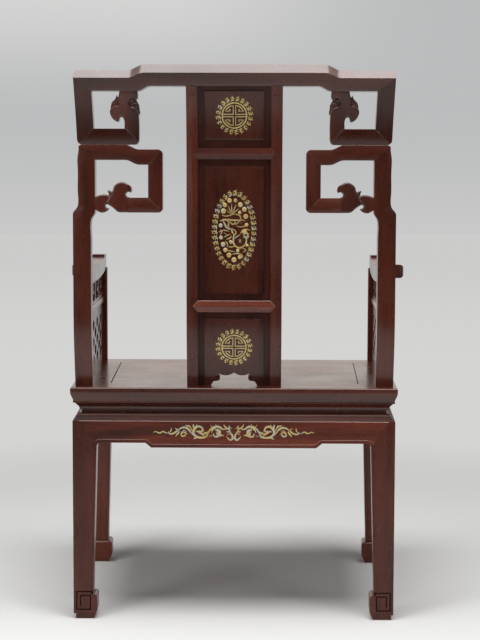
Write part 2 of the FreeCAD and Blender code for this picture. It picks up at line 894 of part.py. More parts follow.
def fret_region(points, piece):
    return piece.common(frontal_prism(sharp(points), -through / 4, through / 4))


outer_sections = []
for z in levels(upper_fret_low, crest_end_face, post_section_pitch):
    lean = upper_fret_flare * (z - upper_fret_low) / (crest_end_face - upper_fret_low)
    outer_sections.append(upright_section(z, bar_low + lean - bar_width, bar_low + lean, fret_thickness))
fret_outer = Part.makeLoft(outer_sections, True, True)
crest_inside = bar_top - bar_width
outer_mitre = [
    (bar_low - bar_width, upper_fret_base_high),
    (bar_low, upper_fret_low),
    (bar_top + fret_corner_radius, upper_fret_low),
    (bar_top + fret_corner_radius, crest_end_face),
    (bar_top, crest_end_face),
    (crest_inside, crest_end_low),
    (crest_inside - fret_corner_radius, crest_end_low),
    (bar_low - bar_width - fret_corner_radius, upper_fret_base_high),
]
fret_outer = fret_region(outer_mitre, fret_outer)
crest_mitre = [
    (crest_inside, crest_end_low),
    (bar_top, crest_end_face),
    (bar_top + fret_corner_radius, crest_end_low - fret_corner_radius),
    (crest_inside, crest_end_low - fret_corner_radius),
]
crest_end_cut = frontal_prism(sharp(crest_mitre), -through / 4, through / 4)
crest = crest.cut(crest_end_cut).cut(mirrored(crest_end_cut))
base_sections = [
    level_section(x, upper_fret_low, upper_fret_base_high, fret_thickness)
    for x in (upper_fret_inner_side, bar_low)
]
fret_base = Part.makeLoft(base_sections, True, True)
fret_base = fret_region([
    (upper_fret_inner_side, upper_fret_low),
    (bar_low, upper_fret_low),
    (bar_low - bar_width, upper_fret_base_high),
    (inner_bar_edge, upper_fret_base_high),
], fret_base)
upper_outer_tip = corner_tip(bar_low, upper_fret_low, -1, 1)
upper_inner_tip = corner_tip(upper_fret_inner_side, upper_fret_low, 1, 1)
fret_outer = fret_outer.cut(upper_outer_tip)
fret_base = fret_base.cut([upper_outer_tip, upper_inner_tip])


def carved(bodies, discs, notches, near, far):
    """A carved end: outlines and discs joined, round notches taken out, cut from the curved slab."""
    solids = [frontal_prism(points, -through / 4, through / 4) for points in bodies]
    for x, z, radius in discs:
        solids.append(Part.makeCylinder(radius, through / 2, V(x, -through / 4, z), V(0, 1, 0)))
    whole = joined(solids)
    for x, z, radius in notches:
        whole = whole.cut(Part.makeCylinder(radius, through / 2, V(x, -through / 4, z), V(0, 1, 0)))
    return whole.common(back_slab(near, far))


inner_bar = sharp([
    (upper_fret_inner_side, upper_fret_low),
    (inner_bar_edge, upper_fret_base_high),
    (inner_bar_edge, cloud_curl_height),
    (upper_fret_inner_side, cloud_curl_height),
])
cloud_neck = sharp([
    (cloud_stem_inner, crest_end_low),
    (cloud_stem_outer, crest_end_low),
    (cloud_stem_outer, cloud_lobe_height),
    (cloud_stem_inner, cloud_lobe_height - cloud_lobe_radius),
])
cloud_leaf = sharp([
    (cloud_stem_outer - cloud_leaf_width, cloud_lobe_height),
    (cloud_stem_outer + cloud_leaf_width, cloud_lobe_height + cloud_leaf_rise / 2),
    (cloud_stem_outer + cloud_leaf_width / 2, cloud_lobe_height + cloud_leaf_rise),
    (cloud_stem_outer - cloud_leaf_width, cloud_lobe_height + cloud_leaf_rise / 2),
])
cloud_filling = sharp([
    (cloud_stem_inner, cloud_lobe_height),
    (cloud_lobe_x, cloud_lobe_height),
    (inner_bar_edge, cloud_curl_height),
    (upper_fret_inner_side, cloud_curl_height - cloud_lobe_radius),
])
fret_cloud = carved(
    [inner_bar, cloud_neck, cloud_leaf, cloud_filling],
    [
        (cloud_lobe_x, cloud_lobe_height, cloud_lobe_radius),
        (cloud_curl_x, cloud_curl_height, cloud_curl_radius),
        (cloud_shoulder_x, cloud_shoulder_height, cloud_shoulder_radius),
    ],
    [(cloud_notch_x, cloud_notch_height, cloud_notch_radius)],
    ridge_fall / 2, fret_thickness - ridge_fall / 2,
)
fret_cloud = fret_cloud.cut(fret_base).cut(crest).cut(upper_inner_tip)

# Lower frets: a stepped top bar, an inner bar, and a foot bar that ends in two carved clouds.
fret_side_edge = lower_fret_side + lower_fret_side_width


def stepped_section(x):
    """Section of the lower fret's top bar, which is higher on its outer stretch."""
    share = smooth(x, lower_step_inner, lower_step_outer)
    low = lower_fret_low - lower_fret_step * (1 - share)
    high = upper_fret_low - lower_fret_step * (1 - share)
    return level_section(x, low, high, fret_thickness)


bar_places = [lower_fret_side] + levels(lower_step_inner, lower_step_outer, crest_section_pitch)
bar_places += [post_upper_outer]
fret_top = Part.makeLoft([stepped_section(x) for x in bar_places], True, True)
inner_high = upper_fret_low - lower_fret_step
inner_low = lower_fret_low - lower_fret_step
side_high_tip = corner_tip(lower_fret_side, inner_high, 1, -1)
side_low_tip = corner_tip(lower_fret_side, lower_fret_foot_low, 1, 1)
fret_top = fret_region([
    (lower_fret_side, inner_high),
    (lower_step_inner, inner_high),
    (lower_step_inner, upper_fret_low),
    (post_upper_outer, upper_fret_low),
    (post_upper_inner, lower_fret_low),
    (post_upper_inner, inner_low),
    (fret_side_edge, inner_low),
], fret_top)
fret_top = fret_top.cut([side_high_tip, corner_tip(post_upper_outer, upper_fret_low, -1, -1)])
fret_side = upright_bar(lower_fret_foot_low, inner_high, lower_fret_side, fret_side_edge, fret_thickness)
fret_side = fret_region([
    (lower_fret_side, lower_fret_foot_low),
    (fret_side_edge, lower_fret_foot_high),
    (fret_side_edge, inner_low),
    (lower_fret_side, inner_high),
], fret_side)
foot_sections = [
    level_section(x, lower_fret_foot_low, lower_fret_foot_high, fret_thickness)
    for x in (lower_fret_side, foot_bar_end)
]
foot_bar = fret_region([
    (lower_fret_side, lower_fret_foot_low),
    (foot_bar_end, lower_fret_foot_low),
    (foot_bar_end, lower_fret_foot_high),
    (fret_side_edge, lower_fret_foot_high),
], Part.makeLoft(foot_sections, True, True))
fret_side = fret_side.cut([side_high_tip, side_low_tip])
foot_bar = foot_bar.cut(side_low_tip)
foot_root = sharp([
    (foot_bar_end - foot_root_overlap, lower_fret_foot_low),
    (foot_bar_end, lower_fret_foot_low),
    (small_cloud_x - small_cloud_radius, small_cloud_height),
    (main_cloud_x + main_cloud_radius, main_cloud_height - main_cloud_radius / 2),
    (main_cloud_x, main_cloud_height),
    (hook_cloud_x, main_cloud_height),
    (foot_bar_end - foot_root_overlap, lower_fret_foot_high),
])
bridge_half = small_cloud_bridge / 2
cloud_bridge = sharp([
    (small_cloud_x, small_cloud_height - bridge_half),
    (post_inner, small_cloud_height - bridge_half),
    (post_inner, small_cloud_height + bridge_half),
    (small_cloud_x, small_cloud_height + bridge_half),
])
foot_leaf = sharp([
    (small_cloud_x - small_cloud_radius, small_cloud_height),
    (small_cloud_x - small_cloud_radius / 2, small_cloud_height + small_cloud_radius / 2),
    (small_cloud_x - small_cloud_radius, small_cloud_height + foot_leaf_rise),
    (main_cloud_x, main_cloud_height),
])
foot_cloud = carved(
    [foot_root, cloud_bridge, foot_leaf],
    [
        (main_cloud_x, main_cloud_height, main_cloud_radius),
        (hook_cloud_x, main_cloud_height, hook_cloud_radius),
        (small_cloud_x, small_cloud_height, small_cloud_radius),
        (small_curl_x, small_curl_height, small_curl_radius),
    ],
    [
        (hook_notch_x, hook_notch_height, hook_notch_radius),
        (small_notch_x, small_notch_height, small_notch_radius),
    ],
    ridge_fall / 2, fret_thickness - ridge_fall / 2,
)
fret_foot = joined([foot_bar, foot_cloud]).cut(post)

# Splat: two stiles and two rails frame three panels, each with a raised field on both faces.
stile_inner = splat_half - stile_width
splat_foot_levels = levels(seat_height, crest_middle_low, post_section_pitch)
stile = Part.makeLoft(
    [upright_section(z, stile_inner, splat_half, splat_thickness) for z in splat_foot_levels], True, False,
)
stile_middle = (splat_half + stile_inner) / 2


def stile_tenon(z_from, z_to):
    middle = back_depth((z_from + z_to) / 2) + splat_thickness / 2
    half = stile_tenon_thickness / 2
    return box_between(
        stile_middle - stile_tenon_width / 2, stile_middle + stile_tenon_width / 2,
        middle - half, middle + half, z_from, z_to,
    )


foot_tenon = stile_tenon(seat_height - stile_tenon_length, seat_height + stile_tenon_length)
head_reach = crest_middle_face - crest_middle_low - crest_head_cover
head_tenon = stile_tenon(crest_middle_low - head_reach, crest_middle_low + head_reach)
seat_mortise(foot_tenon, ("rear",))
crest = crest.cut(head_tenon).cut(mirrored(head_tenon))


def splat_rail(low, high):
    """A rail of the splat, pointed at both ends to meet the ridge of the stiles."""
    middle = (low + high) / 2
    sections = [level_section(x, low, high, splat_thickness) for x in (-stile_middle, stile_middle)]
    pointed = [
        (-stile_inner, low), (stile_inner, low), (stile_middle, middle),
        (stile_inner, high), (-stile_inner, high), (-stile_middle, middle),
    ]
    return fret_region(pointed, Part.makeLoft(sections, True, True))


rail_upper = splat_rail(splat_upper_rail_low, splat_upper_rail_high)
rail_lower = splat_rail(splat_lower_rail_low, splat_lower_rail_high)
stile = joined([stile, foot_tenon, head_tenon]).cut(rail_upper).cut(rail_lower)


def rectangle(half, low, high):
    return sharp([(-half, low), (half, low), (half, high), (-half, high)])


def splat_panel(opening_low, opening_high, field_low, field_high):
    """A thin border plate let into grooves, with a stepped raised field on each face."""
    plate_half = stile_inner + panel_groove
    plate = rectangle(plate_half, opening_low - panel_groove, opening_high + panel_groove)
    step = rectangle(field_half, field_low, field_high)
    top = rectangle(field_half - field_step, field_low + field_step, field_high - field_step)
    low_face = field_recess + field_step_drop
    return joined([
        back_piece(plate, border_recess, border_recess + border_thickness),
        back_piece(step, low_face, splat_thickness - low_face),
        back_piece(top, field_recess, splat_thickness - field_recess),
    ])


panel_top = splat_panel(
    splat_upper_rail_high, crest_middle_low,
    splat_upper_rail_high + field_low_margin, crest_middle_low - field_top_margin,
)
panel_middle = splat_panel(
    splat_lower_rail_high, splat_upper_rail_low,
    splat_lower_rail_high + field_margin, splat_upper_rail_low - field_margin,
)
panel_bottom = splat_panel(
    seat_height + panel_groove, splat_lower_rail_low,
    seat_height - field_step, splat_lower_rail_low - field_margin,
)
panel_area = rectangle(stile_inner + panel_groove, seat_height, splat_lower_rail_high)
panel_bottom = panel_bottom.common(frontal_prism(panel_area, -through / 4, through / 4))

# The foot of the splat is cut away in a cusped outline, with a sunk eye in the curl at each side.
cut_half_outline = [
    (cut_half_seat, seat_height - cut_cusp_rise, 0),
    (cut_half_seat, seat_height, 0),
    (cut_flare_half, cut_flare_height, 0),
    (cut_half_high, cut_shoulder, cut_shoulder_radius),
    (cut_half_high, cut_top, 0),
    (cut_tip_half, cut_top + cut_tip_rise, 0),
    (0, cut_top + cut_cusp_rise, 0),
]
cut_outline = both_halves(cut_half_outline[:-1], 0)
cut_outline.insert(len(cut_half_outline) - 1, cut_half_outline[-1])
foot_cut = frontal_prism(cut_outline, -through / 4, through / 4)
lobes = []
eyes = []
for side in (-1, 1):
    lobe_at = V(side * cut_lobe_half, -through / 4, cut_top + cut_lobe_radius - cut_lobe_drop)
    lobes.append(Part.makeCylinder(cut_lobe_radius, through / 2, lobe_at, V(0, 1, 0)))
    eye_at = V(side * cut_eye_half, -through / 4, cut_eye_height)
    eye = Part.makeCylinder(cut_eye_radius, through / 2, eye_at, V(0, 1, 0))
    eyes.append(eye.common(back_slab(0, field_recess + cut_eye_depth)))
    eyes.append(eye.common(back_slab(splat_thickness - field_recess - cut_eye_depth, splat_thickness)))
panel_bottom = panel_bottom.cut(foot_cut.cut(lobes)).cut(eyes)

# Grooves for the panels, and the notches where other pieces enter.
for panel in (panel_top, panel_middle, panel_bottom):
    stile = stile.cut(panel)
rail_upper = rail_upper.cut(panel_top).cut(panel_middle)
rail_lower = rail_lower.cut(panel_middle).cut(panel_bottom)
crest = crest.cut(panel_top)

# Arms: a waved rail on an openwork panel, with a head that turns out and down at the front.
arm_offset = arm_centre_offset
arm_rear = (back_middle_depth + post_thickness / 2) * flare_length
arm_front = (seat_depth - arm_front_inset) * flare_length
arm_post_from = arm_front - arm_post_thickness * flare_length
arm_half = arm_width / 2
arm_dip = (arm_rear + arm_post_from) / 2


def arm_slice(top_shift, bottom_shift, half, start, finish):
    """A slice of the arm rail's wave, between two shifts from its upper edge."""
    place = along_side(arm_offset - half)
    heights = (arm_height_rear, arm_height_middle, arm_height_front)
    runs = (start, arm_dip, finish)
    top = [place(a, z + top_shift) for a, z in zip(runs, heights)]
    low = [place(a, z + bottom_shift) for a, z in zip(runs, heights)]
    wire = Part.Wire([
        Part.Arc(top[0], top[1], top[2]).toShape(),
        Part.makeLine(top[2], low[2]),
        Part.Arc(low[2], low[1], low[0]).toShape(),
        Part.makeLine(low[0], top[0]),
    ])
    return Part.Face(wire).extrude(V(-half * 2, 0, 0))


arm_bar = arm_slice(0, -arm_thickness, arm_half, arm_rear, arm_front)
bar_outside = seat_half(arm_head_rear_depth, arm_offset - arm_half)
bar_inside = seat_half(arm_front / flare_length, arm_offset + arm_half)
head_rear = arm_head_rear_depth
head_front = seat_depth - arm_front_inset
neck_start = seat_half(head_rear - arm_neck_radius, arm_offset - arm_half)
head_plan = plan_prism([
    (bar_inside, head_rear - arm_neck_radius, 0),
    (bar_inside, head_front, arm_head_radius),
    (arm_tip, head_front, arm_tip_radius),
    (arm_tip, head_rear, arm_tip_radius),
    (bar_outside, head_rear, arm_neck_radius / 2),
    (neck_start, head_rear - arm_neck_radius, 0),
], arm_tip_top - arm_thickness * 2, arm_height_front + arm_thickness)
head_side = frontal_prism([
    (bar_inside - arm_width, arm_height_front - arm_thickness, 0),
    (arm_drop_start - arm_drop_lag, arm_height_front - arm_thickness, arm_drop_radius),
    (arm_drop_end - arm_drop_lag, arm_tip_top - arm_thickness, arm_drop_radius),
    (arm_tip, arm_tip_top - arm_thickness, arm_tip_radius),
    (arm_tip, arm_tip_top, arm_tip_radius),
    (arm_drop_end, arm_tip_top, arm_drop_radius),
    (arm_drop_start, arm_height_front, arm_drop_radius),
    (bar_inside - arm_width, arm_height_front, 0),
], head_rear - arm_neck_radius, head_front)
arm_head = head_plan.common(head_side)
front_rounding = plan_prism([
    (bar_inside - arm_width, 0, 0),
    (arm_tip + arm_width, 0, 0),
    (arm_tip + arm_width, head_front, 0),
    (bar_inside, head_front, arm_head_radius),
    (seat_half(arm_rear, arm_offset + arm_half), arm_rear, 0),
], arm_tip_top - arm_thickness * 2, arm_height_front + arm_thickness)
arm_rail = joined([arm_bar.common(front_rounding), arm_head])
arm_tenon = side_prism(sharp([
    (arm_rear, arm_height_rear - arm_thickness / 2 - arm_tenon_height / 2),
    (arm_rear + post_thickness, arm_height_rear - arm_thickness / 2 - arm_tenon_height / 2),
    (arm_rear + post_thickness, arm_height_rear - arm_thickness / 2 + arm_tenon_height / 2),
    (arm_rear, arm_height_rear - arm_thickness / 2 + arm_tenon_height / 2),
]), arm_offset - arm_tenon_width / 2, arm_offset + arm_tenon_width / 2)
arm_rail = joined([arm_rail.cut(post), arm_tenon])
post = post.cut(arm_rail)

post_reach = arm_post_width / 2
arm_post = side_prism([
    (arm_post_from, seat_height, 0),
    (arm_front, seat_height, 0),
    (arm_front, arm_height_front - arm_thickness, 0),
    (arm_post_from, arm_height_front - arm_thickness, 0),
], arm_offset - post_reach, arm_offset + post_reach)
upright_edges = [edge for edge in arm_post.Edges if edge.BoundBox.ZLength > arm_post_width]
arm_post = arm_post.makeChamfer(arm_post_chamfer, upright_edges)
arm_post_tenon = side_prism(sharp([
    (arm_front - arm_post_thickness / 2 - arm_tenon_width / 2, seat_height - post_tenon_length),
    (arm_front - arm_post_thickness / 2 + arm_tenon_width / 2, seat_height - post_tenon_length),
    (arm_front - arm_post_thickness / 2 + arm_tenon_width / 2, seat_height + post_tenon_length),
    (arm_front - arm_post_thickness / 2 - arm_tenon_width / 2, seat_height + post_tenon_length),
]), arm_offset - arm_tenon_width / 2, arm_offset + arm_tenon_width / 2)
arm_post = joined([arm_post, arm_post_tenon]).cut(arm_rail)
seat_mortise(arm_post_tenon, ("front", "right"))

middle_reach = arm_rail_middle_width / 2
arm_rail_middle = side_prism([
    (arm_rear, arm_rail_middle_low, 0),
    (arm_front, arm_rail_middle_low, 0),
    (arm_front, arm_rail_middle_high, 0),
    (arm_rear, arm_rail_middle_high, 0),
], arm_offset - middle_reach, arm_offset + middle_reach)
level_edges = [edge for edge in arm_rail_middle.Edges if edge.BoundBox.YLength > post_thickness]
arm_rail_middle = arm_rail_middle.makeChamfer(arm_post_chamfer, level_edges).cut(post).cut(arm_post)

plate_from = arm_offset - arm_panel_thickness / 2
plate_to = arm_offset + arm_panel_thickness / 2
cell_from = (back_middle_depth + post_thickness) * flare_length + lattice_border
cell_to = arm_post_from - lattice_border
cell_width = (cell_to - cell_from) / lattice_columns
lattice_low = seat_height + lattice_border
cell_height = (arm_rail_middle_low - lattice_border - lattice_low) / lattice_rows
arm_lattice = side_prism(sharp([
    (arm_rear, seat_height), (arm_post_from, seat_height),
    (arm_post_from, arm_rail_middle_low), (arm_rear, arm_rail_middle_low),
]), plate_from, plate_to)
before_post = back_slab(post_thickness / 2, through / 4)
arm_lattice = arm_lattice.common(before_post)


def lozenge(a, z):
    """A four-cornered opening with soft corners, one lattice cell wide less a rib."""
    half_run = cell_width / 2 - lattice_rib
    half_rise = cell_height / 2 - lattice_rib / 2
    return side_prism([
        (a - half_run, z, lozenge_radius),
        (a, z - half_rise, lozenge_radius),
        (a + half_run, z, lozenge_radius),
        (a, z + half_rise, lozenge_radius),
    ], plate_from, plate_to)


holes = []
for column in range(lattice_columns):
    middle = cell_from + cell_width * (column + 0.5)
    for row in range(lattice_rows):
        holes.append(lozenge(middle, lattice_low + cell_height * (row + 0.5)))
for column in range(1, lattice_columns):
    for row in range(1, lattice_rows):
        holes.append(lozenge(cell_from + cell_width * column, lattice_low + cell_height * row))
arm_lattice = arm_lattice.cut(holes).cut(post)

# Above the middle rail of the arm a second plate has windows, each with a curled hook hanging in it.
plate_half = arm_panel_thickness / 2
arm_hooks = arm_slice(-arm_thickness, -arm_thickness - hook_plate_reach, plate_half, arm_rear, arm_front)
above_rail = side_prism(sharp([
    (arm_rear, arm_rail_middle_high), (arm_post_from, arm_rail_middle_high),
    (arm_post_from, arm_height_front), (arm_rear, arm_height_front),
]), plate_from, plate_to)
arm_hooks = arm_hooks.common(above_rail).common(before_post)
window_width = (cell_to - cell_from) / hook_count
window_low = arm_rail_middle_high + window_border
window_high = arm_height_middle - arm_thickness - window_border
for index in range(hook_count):
    middle = cell_from + window_width * (index + 0.5)
    window_half = (window_width - window_rib) / 2
    window = side_prism([
        (middle - window_half, window_low, window_radius),
        (middle + window_half, window_low, window_radius),
        (middle + window_half, window_high, window_radius),
        (middle - window_half, window_high, window_radius),
    ], plate_from, plate_to)
    hook = side_prism([
        (middle - hook_width / 2, window_high, 0),
        (middle - hook_width / 2, window_high - hook_drop, hook_round),
        (middle + hook_curl, window_high - hook_drop, hook_round),
        (middle + hook_curl, window_high - hook_drop + hook_width, hook_round),
        (middle + hook_width / 2, window_high - hook_drop + hook_width, 0),
        (middle + hook_width / 2, window_high, 0),
    ], plate_from, plate_to)
    arm_hooks = arm_hooks.cut(window.cut(hook))
arm_hooks = arm_hooks.cut(post)

# Loose dowels hold the stacked frets, the clouds and the bars they touch.
cloud_stem_middle = (cloud_stem_inner + cloud_stem_outer) / 2
half_dowel = dowel_length / 2
dowels = []
dowel_places = (
    (dowel_inner, upper_fret_low),
    (dowel_outer, upper_fret_low),
    (cloud_stem_middle, crest_end_low),
)
for x, z in dowel_places:
    centre = V(x, at_depth(back_depth(z) + fret_thickness / 2), z - half_dowel)
    dowels.append(Part.makeCylinder(dowel_radius, dowel_length, centre, V(0, 0, 1)))
fret_middle = at_depth(back_middle_depth + fret_thickness / 2)
cloud_side = V(post_upper_inner - half_dowel, fret_middle, small_cloud_height)
dowels.append(Part.makeCylinder(dowel_radius, dowel_length, cloud_side, V(1, 0, 0)))
fret_base = fret_base.cut(dowels)
fret_top = fret_top.cut(dowels)
fret_cloud = fret_cloud.cut(dowels)
fret_foot = fret_foot.cut(dowels)
post = post.cut(dowels)
crest = crest.cut(dowels).cut([mirrored(dowel) for dowel in dowels])

# A peg locks each leg joint; it shows as a small disc on the outer face of the apron corner.
pegs = []
for end, half, depth, towards in (
    ("rear", half_base_rear, base_inset, 1),
    ("front", half_base_front, seat_depth - base_inset, -1),
):
    face = V(half - peg_from_side, at_depth(depth), waist_bottom - peg_drop)
    peg = Part.makeCylinder(peg_radius, peg_length, face, V(0, -towards, 0))
    legs[end] = legs[end].cut(peg)
    pegs += [peg, mirrored(peg)]

# Inlay: thin metal and shell ornaments on the panels and on the rear and front aprons.
def ring(x, z, outer, inner):
    """An upright ring, long enough to be trimmed to the surface it lies on."""
    start = V(x, -through / 4, z)
    disc = Part.makeCylinder(outer, through / 2, start, V(0, 1, 0))
    return disc.cut(Part.makeCylinder(inner, through / 2, start, V(0, 1, 0)))


def bar(x_from, x_to, z_from, z_to):
    corners = [(x_from, z_from), (x_to, z_from), (x_to, z_to), (x_from, z_to)]
    return frontal_prism(sharp(corners), -through / 4, through / 2)


def leaf(x, z, angle):
    """A comma-shaped leaf that points along an angle."""
    head = Part.makeCylinder(leaf_radius, through / 2, V(x, -through / 4, z), V(0, 1, 0))
    along_x = math.cos(angle)
    along_z = math.sin(angle)
    belly = leaf_radius * leaf_belly_share
    back_x = x - along_z * leaf_radius
    back_z = z + along_x * leaf_radius
    tail = frontal_prism(sharp([
        (back_x, back_z),
        (x + along_z * belly, z - along_x * belly),
        (back_x + along_x * leaf_length, back_z + along_z * leaf_length),
    ]), -through / 4, through / 2)
    return head.fuse(tail)


def wreath(height, half_wide, half_high, count):
    """A ring of leaves round an oval, each leaning the same way."""
    leaves = []
    for i in range(count):
        angle = 2 * math.pi * i / count
        x = half_wide * math.cos(angle)
        z = height + half_high * math.sin(angle)
        leaves.append(leaf(x, z, angle + leaf_lean))
    return leaves


def roundel(height):
    """A ring with a square hook in each quarter, and a wreath round it."""
    inner = roundel_ring_radius - roundel_line
    pieces = [ring(0, height, roundel_ring_radius, inner)]
    gap = roundel_cross_gap / 2
    line = roundel_line
    hook = (inner + gap) * hook_share
    for side_x in (-1, 1):
        for side_z in (-1, 1):
            strokes = [
                (gap, inner, gap, gap + line),
                (gap, gap + line, gap, inner),
                (hook - line, hook, gap + line * 2, hook),
                (gap + line * 2, hook, hook - line, hook),
                (gap + line * 2, gap + line * 3, gap + line * 2, hook),
            ]
            for a, b, c, d in strokes:
                x_from, x_to = sorted((side_x * a, side_x * b))
                z_from, z_to = sorted((side_z * c, side_z * d))
                pieces.append(bar(x_from, x_to, height + z_from, height + z_to))
    disc = Part.makeCylinder(inner + roundel_line / 2, through / 2, V(0, -through / 4, height), V(0, 1, 0))
    pieces[1:] = [piece.common(disc) for piece in pieces[1:]]
    pieces += wreath(height, roundel_wreath_radius, roundel_wreath_radius, roundel_leaf_count)
    return pieces


def laid(pieces, skin):
    """Trims each ornament to a thin skin, then joins the ones that touch."""
    layers = [piece.common(skin) for piece in pieces]
    return layers[0].multiFuse(layers[1:])


front_face = splat_thickness - field_recess
rear_skin = back_slab(field_recess - inlay_thickness, field_recess)
front_skin = back_slab(front_face, front_face + inlay_thickness)

# Each ornament sits in the middle of its own field, whatever the size of the rails round it.
top_field_low = splat_upper_rail_high + field_low_margin
top_roundel_height = (top_field_low + crest_middle_low - field_top_margin) / 2
oval_height = (splat_lower_rail_high + splat_upper_rail_low) / 2
low_roundel_height = (cut_top + splat_lower_rail_low - field_margin) / 2
apron_inlay_height = (apron_middle_low + bead_distance + waist_bottom - apron_bevel_height) / 2
inlay_pieces = {
    "roundel_top": roundel(top_roundel_height),
    "roundel_low": roundel(low_roundel_height),
}

# The tall oval holds a winding body among pearls.
oval = wreath(oval_height, oval_half_width, oval_half_height, oval_leaf_count)
turn_height = oval_half_height * body_share * 2 / body_turns
turn_radius = turn_height / 2
for i in range(body_turns):
    z = oval_height - oval_half_height * body_share + turn_height * (i + 0.5)
    side = 1 if i % 2 else -1
    half_turn = ring(0, z, turn_radius + scroll_body_width / 2, turn_radius - scroll_body_width / 2)
    reach = turn_radius + scroll_body_width
    x_from, x_to = sorted((0, side * reach))
    oval.append(half_turn.common(bar(x_from, x_to, z - reach, z + reach)))
    pearl_from_middle = side * -pearl_reach
    for rise in (-turn_height / 4, turn_height / 4):
        start = V(pearl_from_middle, -through / 4, z + rise)
        oval.append(Part.makeCylinder(pearl_radius, through / 2, start, V(0, 1, 0)))
inlay_pieces["oval"] = oval

# A vine runs along the aprons: half rings in turn above and below, a curl in each, and leaves.
vine = []
vine_radius = vine_wave_length / 4
for i in range(-vine_turns, vine_turns):
    x = (i + 0.5) * vine_radius * 2
    side = 1 if i % 2 else -1
    outer = vine_radius + vine_line / 2
    z_from, z_to = sorted((apron_inlay_height, apron_inlay_height + side * outer))
    curve = ring(x, apron_inlay_height, outer, outer - vine_line)
    vine.append(curve.common(bar(x - outer, x + outer, z_from, z_to)))
    curl_height = apron_inlay_height + side * vine_curl_rise
    vine.append(ring(x, curl_height, vine_curl_radius, vine_curl_radius - vine_line))
    vine.append(leaf(x, apron_inlay_height - side * vine_leaf_drop, -side * math.pi / 2 + leaf_lean))

for name, pieces in inlay_pieces.items():
    nodes["inlay_" + name + "_rear"] = laid(pieces, rear_skin)
    nodes["inlay_" + name + "_front"] = laid(pieces, front_skin)
apron_front_depth = seat_depth - base_inset
for name, near in (("rear", base_inset - inlay_thickness), ("front", apron_front_depth)):
    skin = box_between(
        -through / 4, through / 4, near, near + inlay_thickness, apron_middle_low, waist_bottom,
    )
    nodes["inlay_apron_" + name] = laid(vine, skin)

right_hand = {
    "leg_rear": legs["rear"],
    "leg_front": legs["front"],
    "post": post,
    "upper_fret_outer": fret_outer,
    "upper_fret_base": fret_base,
    "upper_fret_cloud": fret_cloud,
    "lower_fret_top": fret_top,
    "lower_fret_side": fret_side,
    "lower_fret_foot": fret_foot,
    "splat_stile": stile,
    "arm_rail": arm_rail,
    "arm_post": arm_post,
    "arm_middle_rail": arm_rail_middle,
    "arm_lattice": arm_lattice,
    "arm_hooks": arm_hooks,
}
for name, shape in right_hand.items():
    nodes[name + "_right"] = shape
    nodes[name + "_left"] = mirrored(shape)
rails["left"] = mirrored(rails["right"])
for side in ("rear", "front", "right", "left"):
    nodes["seat_rail_" + side] = rails[side]
    nodes["waist_" + side] = waists[side]
    nodes["apron_" + side] = aprons[side]
nodes["seat_panel"] = seat_panel
nodes["seat_battens"] = seat_battens
nodes["crest_rail"] = crest
nodes["splat_rail_upper"] = rail_upper
nodes["splat_rail_lower"] = rail_lower
nodes["splat_panel_top"] = panel_top
nodes["splat_panel_middle"] = panel_middle
nodes["splat_panel_bottom"] = panel_bottom
nodes["fret_dowels"] = Part.makeCompound(dowels + [mirrored(dowel) for dowel in dowels])
nodes["leg_pegs"] = Part.makeCompound(pegs)

os.makedirs("parts", exist_ok=True)
for name, shape in nodes.items():
    shape.exportStep("parts/" + name + ".step")
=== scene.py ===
# %% [markdown]
# # A hat chair in polished rosewood
# The chair is a tall-backed armchair whose crest rail is shaped like an official's hat.
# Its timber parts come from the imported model, and this script gives them eased edges, a polished
# finish, carving and inlay. The first cell loads the model. It must come before anything else,
# because every later piece is placed by it. The chair's box is kept so that we can prove at the
# end that nothing grew.

# %% Load the chair
import bpy
import math
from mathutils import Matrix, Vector


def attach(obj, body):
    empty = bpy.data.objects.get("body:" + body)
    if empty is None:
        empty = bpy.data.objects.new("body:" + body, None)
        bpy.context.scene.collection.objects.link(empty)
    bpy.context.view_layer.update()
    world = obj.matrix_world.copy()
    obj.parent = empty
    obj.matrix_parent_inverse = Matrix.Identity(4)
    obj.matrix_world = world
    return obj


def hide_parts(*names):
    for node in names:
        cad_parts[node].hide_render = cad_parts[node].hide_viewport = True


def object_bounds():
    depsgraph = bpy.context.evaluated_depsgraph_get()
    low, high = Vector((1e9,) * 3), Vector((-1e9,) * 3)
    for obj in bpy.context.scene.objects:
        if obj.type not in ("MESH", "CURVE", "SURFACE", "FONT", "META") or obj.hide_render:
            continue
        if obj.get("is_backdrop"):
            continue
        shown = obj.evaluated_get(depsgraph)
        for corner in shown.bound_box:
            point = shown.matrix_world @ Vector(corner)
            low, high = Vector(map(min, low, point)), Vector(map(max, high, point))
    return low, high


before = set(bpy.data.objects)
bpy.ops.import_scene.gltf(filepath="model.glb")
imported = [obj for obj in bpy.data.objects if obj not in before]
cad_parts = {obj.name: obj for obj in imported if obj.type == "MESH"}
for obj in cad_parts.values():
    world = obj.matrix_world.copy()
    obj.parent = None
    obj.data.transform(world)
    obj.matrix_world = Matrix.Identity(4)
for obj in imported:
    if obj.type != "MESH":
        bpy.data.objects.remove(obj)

box_before = [list(corner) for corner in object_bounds()]
print("chair box", [[round(v, 4) for v in corner] for corner in box_before])

# %% [markdown]
# ## Working by hand, in code
# Most steps below use the same operators that the menus call. An operator works on whatever is
# selected, and a fresh import leaves everything selected. So we start each step by selecting
# exactly one object. The first helper below does that, and makes the object active as well. The
# second copies an object together with its mesh, so that a change to one leaves the other alone.
# The third turns faces round, which a mirrored shape needs.

# %% Select one object
MM = 0.001
SIDES = ("_left", "_right")
MERGE = 0.01 * MM


def take(piece):
    """Leaves one object selected and active."""
    if bpy.context.object and bpy.context.object.mode != "OBJECT":
        bpy.ops.object.mode_set(mode="OBJECT")
    bpy.ops.object.select_all(action="DESELECT")
    bpy.context.view_layer.objects.active = piece
    piece.select_set(True)


